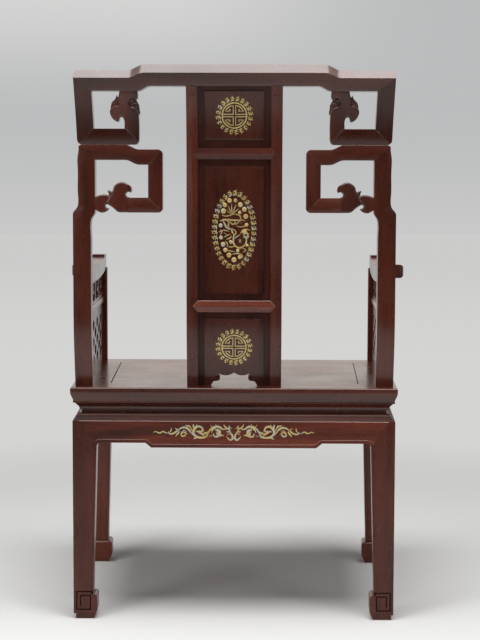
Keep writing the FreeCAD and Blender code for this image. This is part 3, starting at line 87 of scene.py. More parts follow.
def own_copy(piece):
    """A copy of an object, with a mesh of its own."""
    twin = piece.copy()
    twin.data = piece.data.copy()
    bpy.context.scene.collection.objects.link(twin)
    return twin


def flip_faces(piece):
    """Turns all faces of a piece to their other side."""
    take(piece)
    bpy.ops.object.mode_set(mode="EDIT")
    bpy.ops.mesh.select_all(action="SELECT")
    bpy.ops.mesh.flip_normals()
    bpy.ops.object.mode_set(mode="OBJECT")


take(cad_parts["crest_rail"])
print("nodes", len(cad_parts))

# %% [markdown]
# ## The camera
# The picture was taken from behind the chair, a little above the arms, with a long lens. A long
# lens far away keeps upright lines nearly parallel, which is why furniture is photographed so.
# The camera looks along -Y, is tipped down by under five degrees, and has a slight yaw and roll.

# %% Place the camera
CAMERA_PLACE = (-0.0470, 3.0958, 0.8316)
LENS = 83.3
TIP_DOWN = math.radians(4.78)
YAW = math.radians(0.72)
ROLL = math.radians(0.156)
bpy.ops.object.select_all(action="DESELECT")
bpy.ops.object.camera_add(location=CAMERA_PLACE)
camera = bpy.context.object
camera.name = "photo_camera"
camera.data.lens = LENS
camera.data.sensor_width = 36.0
camera.rotation_euler = (math.pi / 2 - TIP_DOWN, -ROLL, math.pi + YAW)
bpy.context.scene.camera = camera
print("camera", [round(v, 3) for v in camera.rotation_euler])

# %% [markdown]
# ## Reusable effects: grain and wear
# Rosewood has long dark streaks, short open pores and a slow drift of tone. All the timber needs
# these, so they are built once as a node group. A group has named inputs and outputs, and each
# material sets its own values. The pattern is noise that is squeezed across the grain and
# stretched along it.

# %% Group: rosewood figure
def add_socket(group, name, direction, kind, value=None):
    """Adds one named socket to a node group."""
    socket = group.interface.new_socket(name=name, in_out=direction, socket_type=kind)
    if value is not None:
        socket.default_value = value


def math_node(nodes, kind, first=None, second=None):
    """A Math node of one kind with plain numbers set on its inputs."""
    node = nodes.new("ShaderNodeMath")
    node.operation = kind
    if first is not None:
        node.inputs[0].default_value = first
    if second is not None:
        node.inputs[1].default_value = second
    return node


figure = bpy.data.node_groups.new("rosewood_figure", "ShaderNodeTree")
add_socket(figure, "Vector", "INPUT", "NodeSocketVector")
add_socket(figure, "Streak Scale", "INPUT", "NodeSocketFloat", 22.0)
add_socket(figure, "Pore Scale", "INPUT", "NodeSocketFloat", 210.0)
add_socket(figure, "Streak", "OUTPUT", "NodeSocketFloat")
add_socket(figure, "Drift", "OUTPUT", "NodeSocketFloat")
add_socket(figure, "Pore", "OUTPUT", "NodeSocketFloat")
nodes, links = figure.nodes, figure.links
way_in = nodes.new("NodeGroupInput")
way_out = nodes.new("NodeGroupOutput")
streaks = nodes.new("ShaderNodeTexNoise")
streaks.inputs["Detail"].default_value = 7.0
streaks.inputs["Roughness"].default_value = 0.62
streaks.inputs["Distortion"].default_value = 0.35
drift = nodes.new("ShaderNodeTexNoise")
drift.inputs["Detail"].default_value = 2.0
slower = math_node(nodes, "MULTIPLY", second=0.16)
pores = nodes.new("ShaderNodeTexNoise")
pores.inputs["Detail"].default_value = 2.0
pores.inputs["Roughness"].default_value = 0.55
pore_mask = nodes.new("ShaderNodeMapRange")
pore_mask.inputs["From Min"].default_value = 0.60
pore_mask.inputs["From Max"].default_value = 0.70
links.new(way_in.outputs["Vector"], streaks.inputs["Vector"])
links.new(way_in.outputs["Streak Scale"], streaks.inputs["Scale"])
links.new(way_in.outputs["Vector"], drift.inputs["Vector"])
links.new(way_in.outputs["Streak Scale"], slower.inputs[0])
links.new(slower.outputs[0], drift.inputs["Scale"])
links.new(way_in.outputs["Vector"], pores.inputs["Vector"])
links.new(way_in.outputs["Pore Scale"], pores.inputs["Scale"])
links.new(pores.outputs["Fac"], pore_mask.inputs["Value"])
links.new(streaks.outputs["Fac"], way_out.inputs["Streak"])
links.new(drift.outputs["Fac"], way_out.inputs["Drift"])
links.new(pore_mask.outputs["Result"], way_out.inputs["Pore"])
print("group", figure.name, "outputs", [s.name for s in figure.interface.items_tree if s.in_out == "OUTPUT"])

# %% [markdown]
# ## Handling marks
# A polished chair is never evenly bright. Hands leave soft smudges, and cloths leave fine
# scratches. A second group gives a smudge mask and a scratch mask. They will only change the
# roughness and the bump a little, so they show where a reflection runs over the surface.

# %% Group: handling marks
marks = bpy.data.node_groups.new("handling_marks", "ShaderNodeTree")
add_socket(marks, "Vector", "INPUT", "NodeSocketVector")
add_socket(marks, "Smudge Scale", "INPUT", "NodeSocketFloat", 9.0)
add_socket(marks, "Scratch Scale", "INPUT", "NodeSocketFloat", 36.0)
add_socket(marks, "Smudge", "OUTPUT", "NodeSocketFloat")
add_socket(marks, "Scratch", "OUTPUT", "NodeSocketFloat")
nodes, links = marks.nodes, marks.links
way_in = nodes.new("NodeGroupInput")
way_out = nodes.new("NodeGroupOutput")
smudges = nodes.new("ShaderNodeTexNoise")
smudges.inputs["Detail"].default_value = 4.0
smudges.inputs["Roughness"].default_value = 0.6
turned = nodes.new("ShaderNodeMapping")
turned.inputs["Rotation"].default_value = (0.35, 0.6, 0.9)
turned.inputs["Scale"].default_value = (1.0, 14.0, 1.0)
scratches = nodes.new("ShaderNodeTexNoise")
scratches.inputs["Detail"].default_value = 3.0
scratch_mask = nodes.new("ShaderNodeMapRange")
scratch_mask.inputs["From Min"].default_value = 0.68
scratch_mask.inputs["From Max"].default_value = 0.74
links.new(way_in.outputs["Vector"], smudges.inputs["Vector"])
links.new(way_in.outputs["Smudge Scale"], smudges.inputs["Scale"])
links.new(way_in.outputs["Vector"], turned.inputs["Vector"])
links.new(turned.outputs["Vector"], scratches.inputs["Vector"])
links.new(way_in.outputs["Scratch Scale"], scratches.inputs["Scale"])
links.new(scratches.outputs["Fac"], scratch_mask.inputs["Value"])
links.new(smudges.outputs["Fac"], way_out.inputs["Smudge"])
links.new(scratch_mask.outputs["Result"], way_out.inputs["Scratch"])
print("group", marks.name)

# %% [markdown]
# ## Polished rosewood
# The finish is a thin clear polish over dark red wood. The wood itself is a ramp from nearly
# black streaks to red brown, and the polish is a coat on the Principled shader. One function
# makes every version. `along` says which way the grain runs, and `place` moves the pattern, so
# that neighbouring pieces don't look cut from one board. `deep` makes the wood lighter or darker,
# `gloss` is the roughness, `polish` the strength of the shine, and the last argument mixes in a
# pale tone that is a painted highlight, standing for light caught on an edge.

# %% Material: polished rosewood
GRAIN_SQUEEZE = {"X": (0.09, 1.0, 1.0), "Y": (1.0, 0.09, 1.0), "Z": (1.0, 1.0, 0.09)}
STREAK_DARK = (0.020, 0.0052, 0.0030, 1.0)
STREAK_RED = (0.062, 0.0125, 0.0062, 1.0)
STREAK_LIGHT = (0.105, 0.0260, 0.0120, 1.0)
PORE_TONE = (0.010, 0.0035, 0.0025, 1.0)
# A pale tone, mixed in as a painted highlight on edges.
HIGHLIGHT_TONE = (0.60, 0.45, 0.39, 1.0)


def rosewood(name, along, place=(0.0, 0.0, 0.0), light=0.5, gloss=0.27, deep=1.0, polish=1.0, painted_highlight=0.0):
    """Rosewood with its grain along one axis; deep scales its colour, polish the shine, and the last
    argument mixes in a painted highlight.
    """
    material = bpy.data.materials.new(name)
    material.use_nodes = True
    nodes, links = material.node_tree.nodes, material.node_tree.links
    shader = nodes["Principled BSDF"]
    where = nodes.new("ShaderNodeTexCoord")
    grain = nodes.new("ShaderNodeMapping")
    grain.inputs["Location"].default_value = place
    grain.inputs["Scale"].default_value = GRAIN_SQUEEZE[along]
    wood = nodes.new("ShaderNodeGroup")
    wood.node_tree = figure
    wear = nodes.new("ShaderNodeGroup")
    wear.node_tree = marks
    links.new(where.outputs["Object"], grain.inputs["Vector"])
    links.new(grain.outputs["Vector"], wood.inputs["Vector"])
    links.new(where.outputs["Object"], wear.inputs["Vector"])
    tone = nodes.new("ShaderNodeValToRGB")
    tone.color_ramp.elements[0].position = 0.30
    tone.color_ramp.elements[0].color = STREAK_DARK
    tone.color_ramp.elements[1].position = 0.80
    tone.color_ramp.elements[1].color = STREAK_LIGHT
    middle = tone.color_ramp.elements.new(light)
    middle.color = STREAK_RED
    links.new(wood.outputs["Streak"], tone.inputs["Fac"])
    slow = nodes.new("ShaderNodeMapRange")
    slow.inputs["From Min"].default_value = 0.3
    slow.inputs["From Max"].default_value = 0.7
    slow.inputs["To Min"].default_value = 0.72 * deep
    slow.inputs["To Max"].default_value = 1.28 * deep
    links.new(wood.outputs["Drift"], slow.inputs["Value"])
    drifted = nodes.new("ShaderNodeVectorMath")
    drifted.operation = "SCALE"
    links.new(tone.outputs["Color"], drifted.inputs[0])
    links.new(slow.outputs["Result"], drifted.inputs["Scale"])
    pored = nodes.new("ShaderNodeMix")
    pored.data_type = "RGBA"
    pored.inputs["B"].default_value = PORE_TONE
    weaker = math_node(nodes, "MULTIPLY", second=0.55)
    links.new(wood.outputs["Pore"], weaker.inputs[0])
    links.new(weaker.outputs[0], pored.inputs["Factor"])
    links.new(drifted.outputs["Vector"], pored.inputs["A"])
    # The pale tone mixed in here is a painted highlight.
    paled = nodes.new("ShaderNodeMix")
    paled.data_type = "RGBA"
    paled.inputs["Factor"].default_value = painted_highlight
    paled.inputs["B"].default_value = HIGHLIGHT_TONE
    links.new(pored.outputs["Result"], paled.inputs["A"])
    links.new(paled.outputs["Result"], shader.inputs["Base Color"])
    rough = nodes.new("ShaderNodeMapRange")
    rough.inputs["From Min"].default_value = 0.3
    rough.inputs["From Max"].default_value = 0.7
    rough.inputs["To Min"].default_value = gloss - 0.05
    rough.inputs["To Max"].default_value = gloss + 0.09
    links.new(wear.outputs["Smudge"], rough.inputs["Value"])
    links.new(rough.outputs["Result"], shader.inputs["Roughness"])
    height = nodes.new("ShaderNodeMath")
    height.operation = "MULTIPLY_ADD"
    height.inputs[1].default_value = -0.5
    links.new(wear.outputs["Scratch"], height.inputs[0])
    links.new(wood.outputs["Pore"], height.inputs[2])
    bump = nodes.new("ShaderNodeBump")
    bump.inputs["Strength"].default_value = 0.05
    bump.inputs["Distance"].default_value = 0.0006
    bump.invert = True
    links.new(height.outputs[0], bump.inputs["Height"])
    links.new(bump.outputs["Normal"], shader.inputs["Normal"])
    shader.inputs["Specular IOR Level"].default_value = 0.38 * polish
    shader.inputs["Coat Weight"].default_value = 0.35 * polish
    shader.inputs["Coat Roughness"].default_value = 0.14
    return material


print("wood tones", STREAK_DARK, STREAK_RED, STREAK_LIGHT)

# %% [markdown]
# ## A board for each part
# No two boards of rosewood have the same colour, so each kind of part has a finish of its own,
# whose tone was set beside the photograph. The lower splat rail is made much lighter, painted
# light that stands for the lamp on its upward facet. The last five aren't boards: carving, which
# is a little more matt, a pale finish on upward edges that is a painted highlight, a painted
# highlight line at the top of the aprons, the slope above it made darker and duller as painted
# shade, and painted shade in the bottom of a carved groove.

# %% Finishes for the parts
wood_upright = rosewood("rosewood_upright", "Z", deep=1.04, polish=0.9)
wood_leg = rosewood("rosewood_leg", "Z", place=(0.5, 0.2, 0.8), deep=1.5, polish=0.6)
wood_fret = rosewood("rosewood_fret", "Z", place=(0.9, 0.6, 0.4), deep=0.6)
wood_across = rosewood("rosewood_across", "X", place=(0.3, 0.1, 0.2))
wood_crest = rosewood("rosewood_crest", "X", place=(0.8, 0.5, 0.6), deep=0.8, polish=1.1)
wood_old_rail = rosewood("rosewood_old_rail", "X", place=(0.2, 0.7, 0.9), deep=0.68)
wood_upper_rail = rosewood("rosewood_upper_rail", "X", place=(0.4, 0.8, 0.7), deep=1.5, polish=0.75)
# Much lighter than the others: painted light, standing for the lamp on the rail's upward facet.
wood_lamp_lit_rail = rosewood("rosewood_lamp_lit_rail", "X", place=(0.6, 0.9, 0.2), deep=2.3)
wood_apron = rosewood("rosewood_apron", "X", place=(0.4, 0.3, 0.7), deep=2.0, polish=0.58)
wood_waist = rosewood("rosewood_waist", "X", place=(0.2, 0.3, 0.9), deep=0.85, polish=1.0)
wood_foot_bar = rosewood("rosewood_foot_bar", "X", place=(0.7, 0.3, 0.1), deep=1.35)
wood_arm = rosewood("rosewood_arm", "Y", place=(0.6, 0.4, 0.2), deep=1.3, polish=1.35)
wood_lengthwise = rosewood("rosewood_lengthwise", "Y", place=(0.1, 0.4, 0.3))
wood_panel = rosewood("rosewood_panel", "Z", place=(0.7, 0.2, 0.5), light=0.44, deep=0.88, polish=0.9)
wood_carved = rosewood("rosewood_carved", "Z", place=(0.2, 0.8, 0.1), gloss=0.31)
# Paler, for eased edges that look upwards: a painted highlight.
wood_edge_highlight = rosewood(
    "rosewood_edge_highlight", "X", place=(0.1, 0.1, 0.5), gloss=0.24, deep=1.8, polish=1.3, painted_highlight=0.16,
)
# Nearly the pale tone: a painted highlight along the lower edge of the slope above the aprons.
wood_arris_highlight = rosewood(
    "rosewood_arris_highlight", "X", place=(0.3, 0.1, 0.8), gloss=0.28, deep=2.0, polish=1.3, painted_highlight=0.85,
)
# Darker and duller: painted shade on the slope under the seat's overhang.
wood_slope_shade = rosewood("rosewood_slope_shade", "X", place=(0.5, 0.5, 0.1), gloss=0.50, deep=0.75, polish=0.18)
# Much darker and matt: painted shade in the bottom and walls of a cut groove.
wood_groove_shade = rosewood("rosewood_groove_shade", "X", place=(0.9, 0.2, 0.3), gloss=0.50, deep=0.34, polish=0.1)
print("timber finishes", [m.name for m in bpy.data.materials if m.name.startswith("rosewood_")])

# %% [markdown]
# ## Easing the edges
# A joiner takes the sharp corner off every edge, and that narrow facet catches the light. The
# imported parts have sharp corners and are made of loose triangles. So we work on a copy: merge
# its doubled points, dissolve the flat triangles back into whole faces, then add a Bevel
# modifier that only acts on real corners. The modifier marks the faces that it makes, and those
# that look upwards take a paler finish, a painted highlight that stands for the light from above.
# Where only one end of a part is wanted, Bisect cuts it before the bevel, so that the cut is eased too.

# %% Ease the edges of a timber part
EASE = 1.1 * MM
FLAT = math.radians(0.5)
CORNER = math.radians(24)
EDGE_HIGHLIGHT_SLOT = 1
LOOKS_UP = 0.2


def finish_piece(piece, name, finish, replaces=(), smooth=35, even=False):
    """Names a piece, gives it its finish, and fixes it to the chair."""
    take(piece)
    piece.name = name
    piece.data.name = name
    bpy.ops.object.transform_apply(location=True, rotation=True, scale=True)
    bpy.ops.object.shade_smooth_by_angle(angle=math.radians(smooth))
    if even:
        flat = piece.modifiers.new("flat", "WEIGHTED_NORMAL")
        flat.keep_sharp = True
        bpy.ops.object.modifier_apply(modifier="flat")
    piece.data.materials.clear()
    piece.data.materials.append(finish)
    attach(piece, "root")
    if replaces:
        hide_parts(*replaces)
    return piece


def eased(node, finish, width=EASE, name="eased_", keep_to=None):
    """A copy of a timber part with clean faces and eased edges, in place of the part."""
    piece = own_copy(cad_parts[node])
    piece.parent = None
    take(piece)
    bpy.ops.object.mode_set(mode="EDIT")
    bpy.ops.mesh.select_all(action="SELECT")
    bpy.ops.mesh.remove_doubles(threshold=MERGE)
    bpy.ops.mesh.dissolve_limited(angle_limit=FLAT)
    if keep_to is not None:
        bpy.ops.mesh.select_all(action="SELECT")
        towards = math.copysign(1, keep_to)
        bpy.ops.mesh.bisect(
            plane_co=(keep_to * MM, 0, 0), plane_no=(towards, 0, 0), use_fill=True, clear_outer=True,
        )
    bpy.ops.object.mode_set(mode="OBJECT")
    piece.data.materials.clear()
    piece.data.materials.append(finish)
    piece.data.materials.append(wood_edge_highlight)
    for face in piece.data.polygons:
        face.material_index = 0
    ease = piece.modifiers.new("ease", "BEVEL")
    ease.width = width
    ease.segments = 3
    ease.limit_method = "ANGLE"
    ease.angle_limit = CORNER
    ease.material = EDGE_HIGHLIGHT_SLOT
    bpy.ops.object.modifier_apply(modifier="ease")
    made = [face for face in piece.data.polygons if face.material_index == EDGE_HIGHLIGHT_SLOT]
    # Eased faces that look upwards get the paler finish, a painted highlight.
    highlit_faces = [face.index for face in made if face.normal.z > LOOKS_UP]
    finish_piece(piece, name + node, finish, replaces=(node,), even=True)
    piece.data.materials.append(wood_edge_highlight)
    for face in piece.data.polygons:
        face.material_index = 0
    for index in highlit_faces:
        piece.data.polygons[index].material_index = EDGE_HIGHLIGHT_SLOT
    return piece


print("edges eased by", EASE / MM, "mm")

# %% [markdown]
# ## The slope above the aprons
# The aprons and legs end at the top in a slope that runs up to the waist. It faces the ceiling,
# where polish would mirror the lamp. It is given a darker, duller finish, painted shade that stands
# for the shade of the seat's overhang, and its lower edge a pale finish, a painted highlight.
# Both are material slots, picked by height and by how far each face looks upwards.

# %% Paint shade on the slope and a highlight on its edge
SLOPE_FOOT = 393.4
EDGE_BELOW, EDGE_ABOVE = 0.6, 1.6
SLOPE_TURN = (0.45, 0.86)
HIGHLIGHT_TURN = (0.04, 0.66)
SLOPE_SHADE_SLOT, ARRIS_HIGHLIGHT_SLOT = 2, 3


def paint_slope_shade_and_highlight(piece):
    """Gives the sloping top of an apron, leg or waist a darker, duller finish as painted shade, and its
    lower edge a painted highlight.
    """
    piece.data.materials.append(wood_slope_shade)
    piece.data.materials.append(wood_arris_highlight)
    for face in piece.data.polygons:
        high = face.center.z / MM
        at_edge = SLOPE_FOOT - EDGE_BELOW < high < SLOPE_FOOT + EDGE_ABOVE
        if high > SLOPE_FOOT + EDGE_ABOVE and SLOPE_TURN[0] < face.normal.z < SLOPE_TURN[1]:
            face.material_index = SLOPE_SHADE_SLOT
        elif at_edge and HIGHLIGHT_TURN[0] < face.normal.z < HIGHLIGHT_TURN[1]:
            face.material_index = ARRIS_HIGHLIGHT_SLOT


print("slope starts at", SLOPE_FOOT, "mm")

# %% [markdown]
# ## The scroll on the hoofs
# A square scroll is cut into the two outward faces of each hoof. The cut is a little over two
# millimetres wide, and it is painted dark as shade so that it reads at a distance. Its faces are
# found by depth. The largest face on each outward side is the leg's own surface. Small faces
# just below it are the bottom and the walls of the cut.

# %% Paint shade into the scroll
HOOF_ZONE = 60.0
CUT_FROM, CUT_TO = 0.25, 1.9
LEAST_AREA = 4
GROOVE_SHADE_SLOT = 4


def shade_scroll(piece):
    """Darkens the square scroll cut into the two outward faces of a hoof, as painted shade."""
    faces = piece.data.polygons
    piece.data.materials.append(wood_groove_shade)
    shaded_count = 0
    for axis in (0, 1):
        outer = max(faces, key=lambda face: face.area * (abs(face.normal[axis]) > 0.99))
        outward = outer.normal.copy()
        for face in faces:
            sunk = (outer.center - face.center).dot(outward) / MM
            facing = face.normal.dot(outward)
            low = face.center.z < HOOF_ZONE * MM and face.area > LEAST_AREA * MM * MM
            if low and CUT_FROM < sunk < CUT_TO and (facing > 0.98 or abs(facing) < 0.1):
                face.material_index = GROOVE_SHADE_SLOT
                shaded_count += 1
    return shaded_count


print("faces taken as cut lie", CUT_FROM, "to", CUT_TO, "mm below the surface")

# %% [markdown]
# ## Upright parts
# The posts, the splat's stiles, the fret uprights and the legs stand along Z, and so does their
# grain. Each pair is eased in turn. The legs also take the slope and the scroll.

# %% Upright parts
pieces = {}
upright = {"post": wood_upright, "splat_stile": wood_upright, "upper_fret_outer": wood_fret}
upright["lower_fret_side"] = wood_upright
for node in ("arm_post", "leg_rear", "leg_front"):
    upright[node] = wood_leg
for node, finish in upright.items():
    for side in SIDES:
        pieces[node + side] = eased(node + side, finish)
        if node.startswith("leg"):
            paint_slope_shade_and_highlight(pieces[node + side])
            print(node + side, "scroll faces", shade_scroll(pieces[node + side]))
print("upright parts", len(pieces))

# %% [markdown]
# ## Rails across the chair
# The crest rail, the splat's rails, the fret bars, the aprons at the front and rear, and their
# mouldings run from side to side. Timber is always cut with its grain along the length of a
# rail, because it is strong that way, so these take finishes whose grain runs along X.

# %% Rails across
across = {"crest_rail": wood_crest, "splat_rail_upper": wood_upper_rail, "splat_rail_lower": wood_lamp_lit_rail}
for node in ("seat_rail_rear", "seat_rail_front", "seat_panel"):
    across[node] = wood_across
for end in ("_rear", "_front"):
    across["waist" + end] = wood_waist
    across["apron" + end] = wood_apron
for side in SIDES:
    across["upper_fret_base" + side] = wood_old_rail
    across["lower_fret_top" + side] = wood_across
for node, finish in across.items():
    pieces[node] = eased(node, finish)
    if node.startswith(("apron", "waist")):
        paint_slope_shade_and_highlight(pieces[node])
print("rails across", len(across))

# %% [markdown]
# ## Parts that run from back to front
# The side rails of the seat, the side aprons, the arms and the battens under the seat run from
# back to front, so their grain runs along Y. The openwork, the splat's panels and the small pegs
# have finer edges, so they are eased here with a narrower bevel.

# %% Rails lengthwise
OPENWORK_EASE, PANEL_EASE, PIN_EASE = 0.9 * MM, 0.6 * MM, 0.3 * MM
lengthwise = ["seat_battens"]
for name in ("seat_rail", "waist", "apron", "arm_rail", "arm_middle_rail"):
    lengthwise += [name + "_left", name + "_right"]
for node in lengthwise:
    pieces[node] = eased(node, wood_arm if node.startswith("arm_rail") else wood_lengthwise)
    if node.startswith(("apron", "waist")):
        paint_slope_shade_and_highlight(pieces[node])
for name in ("arm_lattice", "arm_hooks"):
    for side in SIDES:
        pieces[name + side] = eased(name + side, wood_carved, width=OPENWORK_EASE)
for name in ("splat_panel_top", "splat_panel_middle", "splat_panel_bottom"):
    pieces[name] = eased(name, wood_panel, width=PANEL_EASE)
for name in ("fret_dowels", "leg_pegs"):
    pieces[name] = eased(name, wood_upright, width=PIN_EASE)
print("pieces so far", len(pieces))

# %% [markdown]
# ## The line of the back
# The back isn't flat. It leans forward at the seat, stands upright in the middle and leans back
# at the top, with smooth bends between. Carving and inlay are first made flat, as at the bench,
# and then each point is moved to where the back is at that height. The function below gives the
# rear face of the back, from the same straight runs and bends that the timber follows.

# %% Follow the line of the back
BACK_FOOT, BACK_MIDDLE, BACK_HEAD = 35.0, 11.5, -31.5
SEAT_TOP, LOW_BEND, HIGH_BEND, BACK_TOP = 460.0, 567.0, 956.0, 1081.0
HIGH_BEND_RADIUS = 410.0
REAR_EDGE = 241.64
LOW_SLOPE = (BACK_FOOT - BACK_MIDDLE) / (LOW_BEND - SEAT_TOP)
HIGH_TURN = math.atan2(BACK_MIDDLE - BACK_HEAD, BACK_TOP - HIGH_BEND)
LOW_TURN = math.atan(LOW_SLOPE)
LOW_BEND_RADIUS = 370.0


def back_face(z):
    """Where the rear face of the back is at a height, both in millimetres."""
    low_reach = LOW_BEND_RADIUS * math.tan(LOW_TURN / 2)
    high_reach = HIGH_BEND_RADIUS * math.tan(HIGH_TURN / 2)
    depth = BACK_MIDDLE
    if z < LOW_BEND - low_reach * math.cos(LOW_TURN):
        depth += (LOW_BEND - z) * LOW_SLOPE
    elif z < LOW_BEND + low_reach:
        rise = LOW_BEND + low_reach - z
        depth += LOW_BEND_RADIUS - math.sqrt(LOW_BEND_RADIUS ** 2 - rise ** 2)
    elif z > HIGH_BEND + high_reach * math.cos(HIGH_TURN):
        depth -= (z - HIGH_BEND) * math.tan(HIGH_TURN)
    elif z > HIGH_BEND - high_reach:
        rise = z - HIGH_BEND + high_reach
        depth -= HIGH_BEND_RADIUS - math.sqrt(HIGH_BEND_RADIUS ** 2 - rise ** 2)
    return REAR_EDGE - depth


def lay(piece, face, outward):
    """Moves a flat piece onto a face; outward is 1 at the rear and -1 at the front."""
    for point in piece.data.vertices:
        point.co.y = face(point.co.z / MM) * MM + outward * point.co.y
    if outward < 0:
        flip_faces(piece)


print("rear face", [(z, round(back_face(z), 1)) for z in (460, 567, 766, 956, 1060)])

# %% [markdown]
# ## Painted shade in the sunken borders
# Round each raised field runs a sunken border. Its faces are painted much darker and less shiny
# than the field, as painted shade in the recess. A slot of its own does this. The
# border's faces are picked by their depth: all their corners lie close to the middle of the
# panel's thickness, while the field stands further out.

# %% Darken the borders
SPLAT_THICKNESS = 26.0
BORDER_REACH = 5.4
BORDER_SHADE_SLOT = 2
# Much darker and duller: painted shade in the sunken borders.
wood_border_shade = rosewood("rosewood_border_shade", "Z", place=(0.4, 0.4, 0.9), gloss=0.40, deep=0.58, polish=0.5)


def shade_border(panel):
    """Gives the faces of the sunken border the darker finish, which is painted shade."""
    panel.data.materials.append(wood_border_shade)
    depth = [
        abs(point.co.y / MM - back_face(point.co.z / MM) + SPLAT_THICKNESS / 2)
        for point in panel.data.vertices
    ]
    shaded_border_faces = [face for face in panel.data.polygons if max(depth[i] for i in face.vertices) < BORDER_REACH]
    for face in shaded_border_faces:
        face.material_index = BORDER_SHADE_SLOT
    return len(shaded_border_faces)


for name in ("splat_panel_top", "splat_panel_middle", "splat_panel_bottom"):
    print(name, "border faces", shade_border(pieces[name]))

# %% [markdown]
# ## Inlay: gold wire and shell
# The ornaments are thin metal and shell, let into the wood and rubbed down. They are slightly
# domed, so every curl catches its own bit of light. The colour drifts between gold, copper and a
# silvery green along each ornament, which a soft noise does well. The mix stays a little less
# than fully metallic, because rubbed inlay is matt and keeps its colour from every side.

# %% Material: inlay
def inlay_finish(name, place, silver, copper):
    """Rubbed metal and shell; silver and copper say how much of the ramp each one takes."""
    material = bpy.data.materials.new(name)
    material.use_nodes = True
    nodes, links = material.node_tree.nodes, material.node_tree.links
    shader = nodes["Principled BSDF"]
    where = nodes.new("ShaderNodeTexCoord")
    moved = nodes.new("ShaderNodeMapping")
    moved.inputs["Location"].default_value = place
    links.new(where.outputs["Object"], moved.inputs["Vector"])
    patches = nodes.new("ShaderNodeTexNoise")
    patches.inputs["Scale"].default_value = 62.0
    patches.inputs["Detail"].default_value = 1.5
    links.new(moved.outputs["Vector"], patches.inputs["Vector"])
    tone = nodes.new("ShaderNodeValToRGB")
    ramp = tone.color_ramp
    ramp.elements[0].position = silver - 0.04
    ramp.elements[0].color = (0.54, 0.53, 0.40, 1.0)
    ramp.elements[1].position = copper + 0.05
    ramp.elements[1].color = (0.56, 0.36, 0.22, 1.0)
    ramp.elements.new(silver + 0.04).color = (0.66, 0.54, 0.24, 1.0)
    ramp.elements.new(copper - 0.03).color = (0.56, 0.41, 0.12, 1.0)
    links.new(patches.outputs["Fac"], tone.inputs["Fac"])
    flecks = nodes.new("ShaderNodeTexNoise")
    flecks.inputs["Scale"].default_value = 520.0
    flecks.inputs["Detail"].default_value = 3.0
    links.new(moved.outputs["Vector"], flecks.inputs["Vector"])
    shade = nodes.new("ShaderNodeMapRange")
    shade.inputs["From Min"].default_value = 0.35
    shade.inputs["From Max"].default_value = 0.65
    shade.inputs["To Min"].default_value = 0.68
    shade.inputs["To Max"].default_value = 1.22
    links.new(flecks.outputs["Fac"], shade.inputs["Value"])
    flecked = nodes.new("ShaderNodeVectorMath")
    flecked.operation = "SCALE"
    links.new(tone.outputs["Color"], flecked.inputs[0])
    links.new(shade.outputs["Result"], flecked.inputs["Scale"])
    links.new(flecked.outputs["Vector"], shader.inputs["Base Color"])
    rough = nodes.new("ShaderNodeMapRange")
    rough.inputs["To Min"].default_value = 0.26
    rough.inputs["To Max"].default_value = 0.46
    links.new(flecks.outputs["Fac"], rough.inputs["Value"])
    links.new(rough.outputs["Result"], shader.inputs["Roughness"])
    bump = nodes.new("ShaderNodeBump")
    bump.inputs["Strength"].default_value = 0.25
    bump.inputs["Distance"].default_value = 0.0003
    links.new(flecks.outputs["Fac"], bump.inputs["Height"])
    links.new(bump.outputs["Normal"], shader.inputs["Normal"])
    shader.inputs["Metallic"].default_value = 0.45
    return material


gold_wire = inlay_finish("inlay_gold_wire", (0.1, 0.2, 0.3), 0.33, 0.80)
gold_and_shell = inlay_finish("inlay_gold_and_shell", (0.5, 0.1, 0.7), 0.42, 0.66)
shell_and_gold = inlay_finish("inlay_shell_and_gold", (0.2, 0.6, 0.1), 0.48, 0.72)
print("inlay finishes", gold_wire.name, gold_and_shell.name, shell_and_gold.name)

# %% [markdown]
# ## Drawing with curves
# Each curl of the inlay is a stroke that swells and thins, like a brush stroke. In Blender a
# curve can do this: its bevel gives it a round section, and every point has its own radius. All
# strokes of one ornament go into one curve object, which is made a mesh, flattened so that only
# a low dome stands proud, and stood upright.

# %% Strokes that swell and thin
DOME = 0.26


def strokes(lines, corner="AUTO"):
    """A mesh of flattened strokes in the x and z plane; each line is a list of (x, z, half width)."""
    bpy.ops.object.select_all(action="DESELECT")
    bpy.ops.curve.primitive_bezier_curve_add(location=(0, 0, 0))
    drawing = bpy.context.object
    curve = drawing.data
    curve.splines.clear()
    curve.dimensions = "3D"
    curve.resolution_u = 5 if corner == "AUTO" else 1
    curve.bevel_depth = MM
    curve.bevel_resolution = 1
    curve.use_fill_caps = True
    for line in lines:
        spline = curve.splines.new("BEZIER")
        spline.bezier_points.add(len(line) - 1)
        for point, (x, z, half) in zip(spline.bezier_points, line):
            point.co = (x * MM, 0.0, z * MM)
            point.radius = half
            point.handle_left_type = point.handle_right_type = corner
    bpy.ops.object.convert(target="MESH")
    drawing = bpy.context.object
    for point in drawing.data.vertices:
        point.co.y *= DOME
    return drawing


def swelling(path, widest, ends=0.35):
    """Half widths for a path: thin at both ends and widest in the middle."""
    last = len(path) - 1
    line = []
    for i, (x, z) in enumerate(path):
        share = math.sin(math.pi * i / last)
        line.append((x, z, widest * (ends + (1 - ends) * share)))
    return line


def combine(parts):
    """Joins meshes into the first of them."""
    take(parts[0])
    for part in parts:
        part.select_set(True)
    bpy.ops.object.join()
    return bpy.context.object


print("stroke height as a share of its width", DOME)

# %% [markdown]
# ## One leaf, copied round
# The wreaths are made of small curled leaves: an arch that thickens in the middle, three spikes
# and a small inner curl. One leaf is drawn, and its points are turned and moved to every place
# on the wreath. All leaves lean the same way round, as a string of running curls.

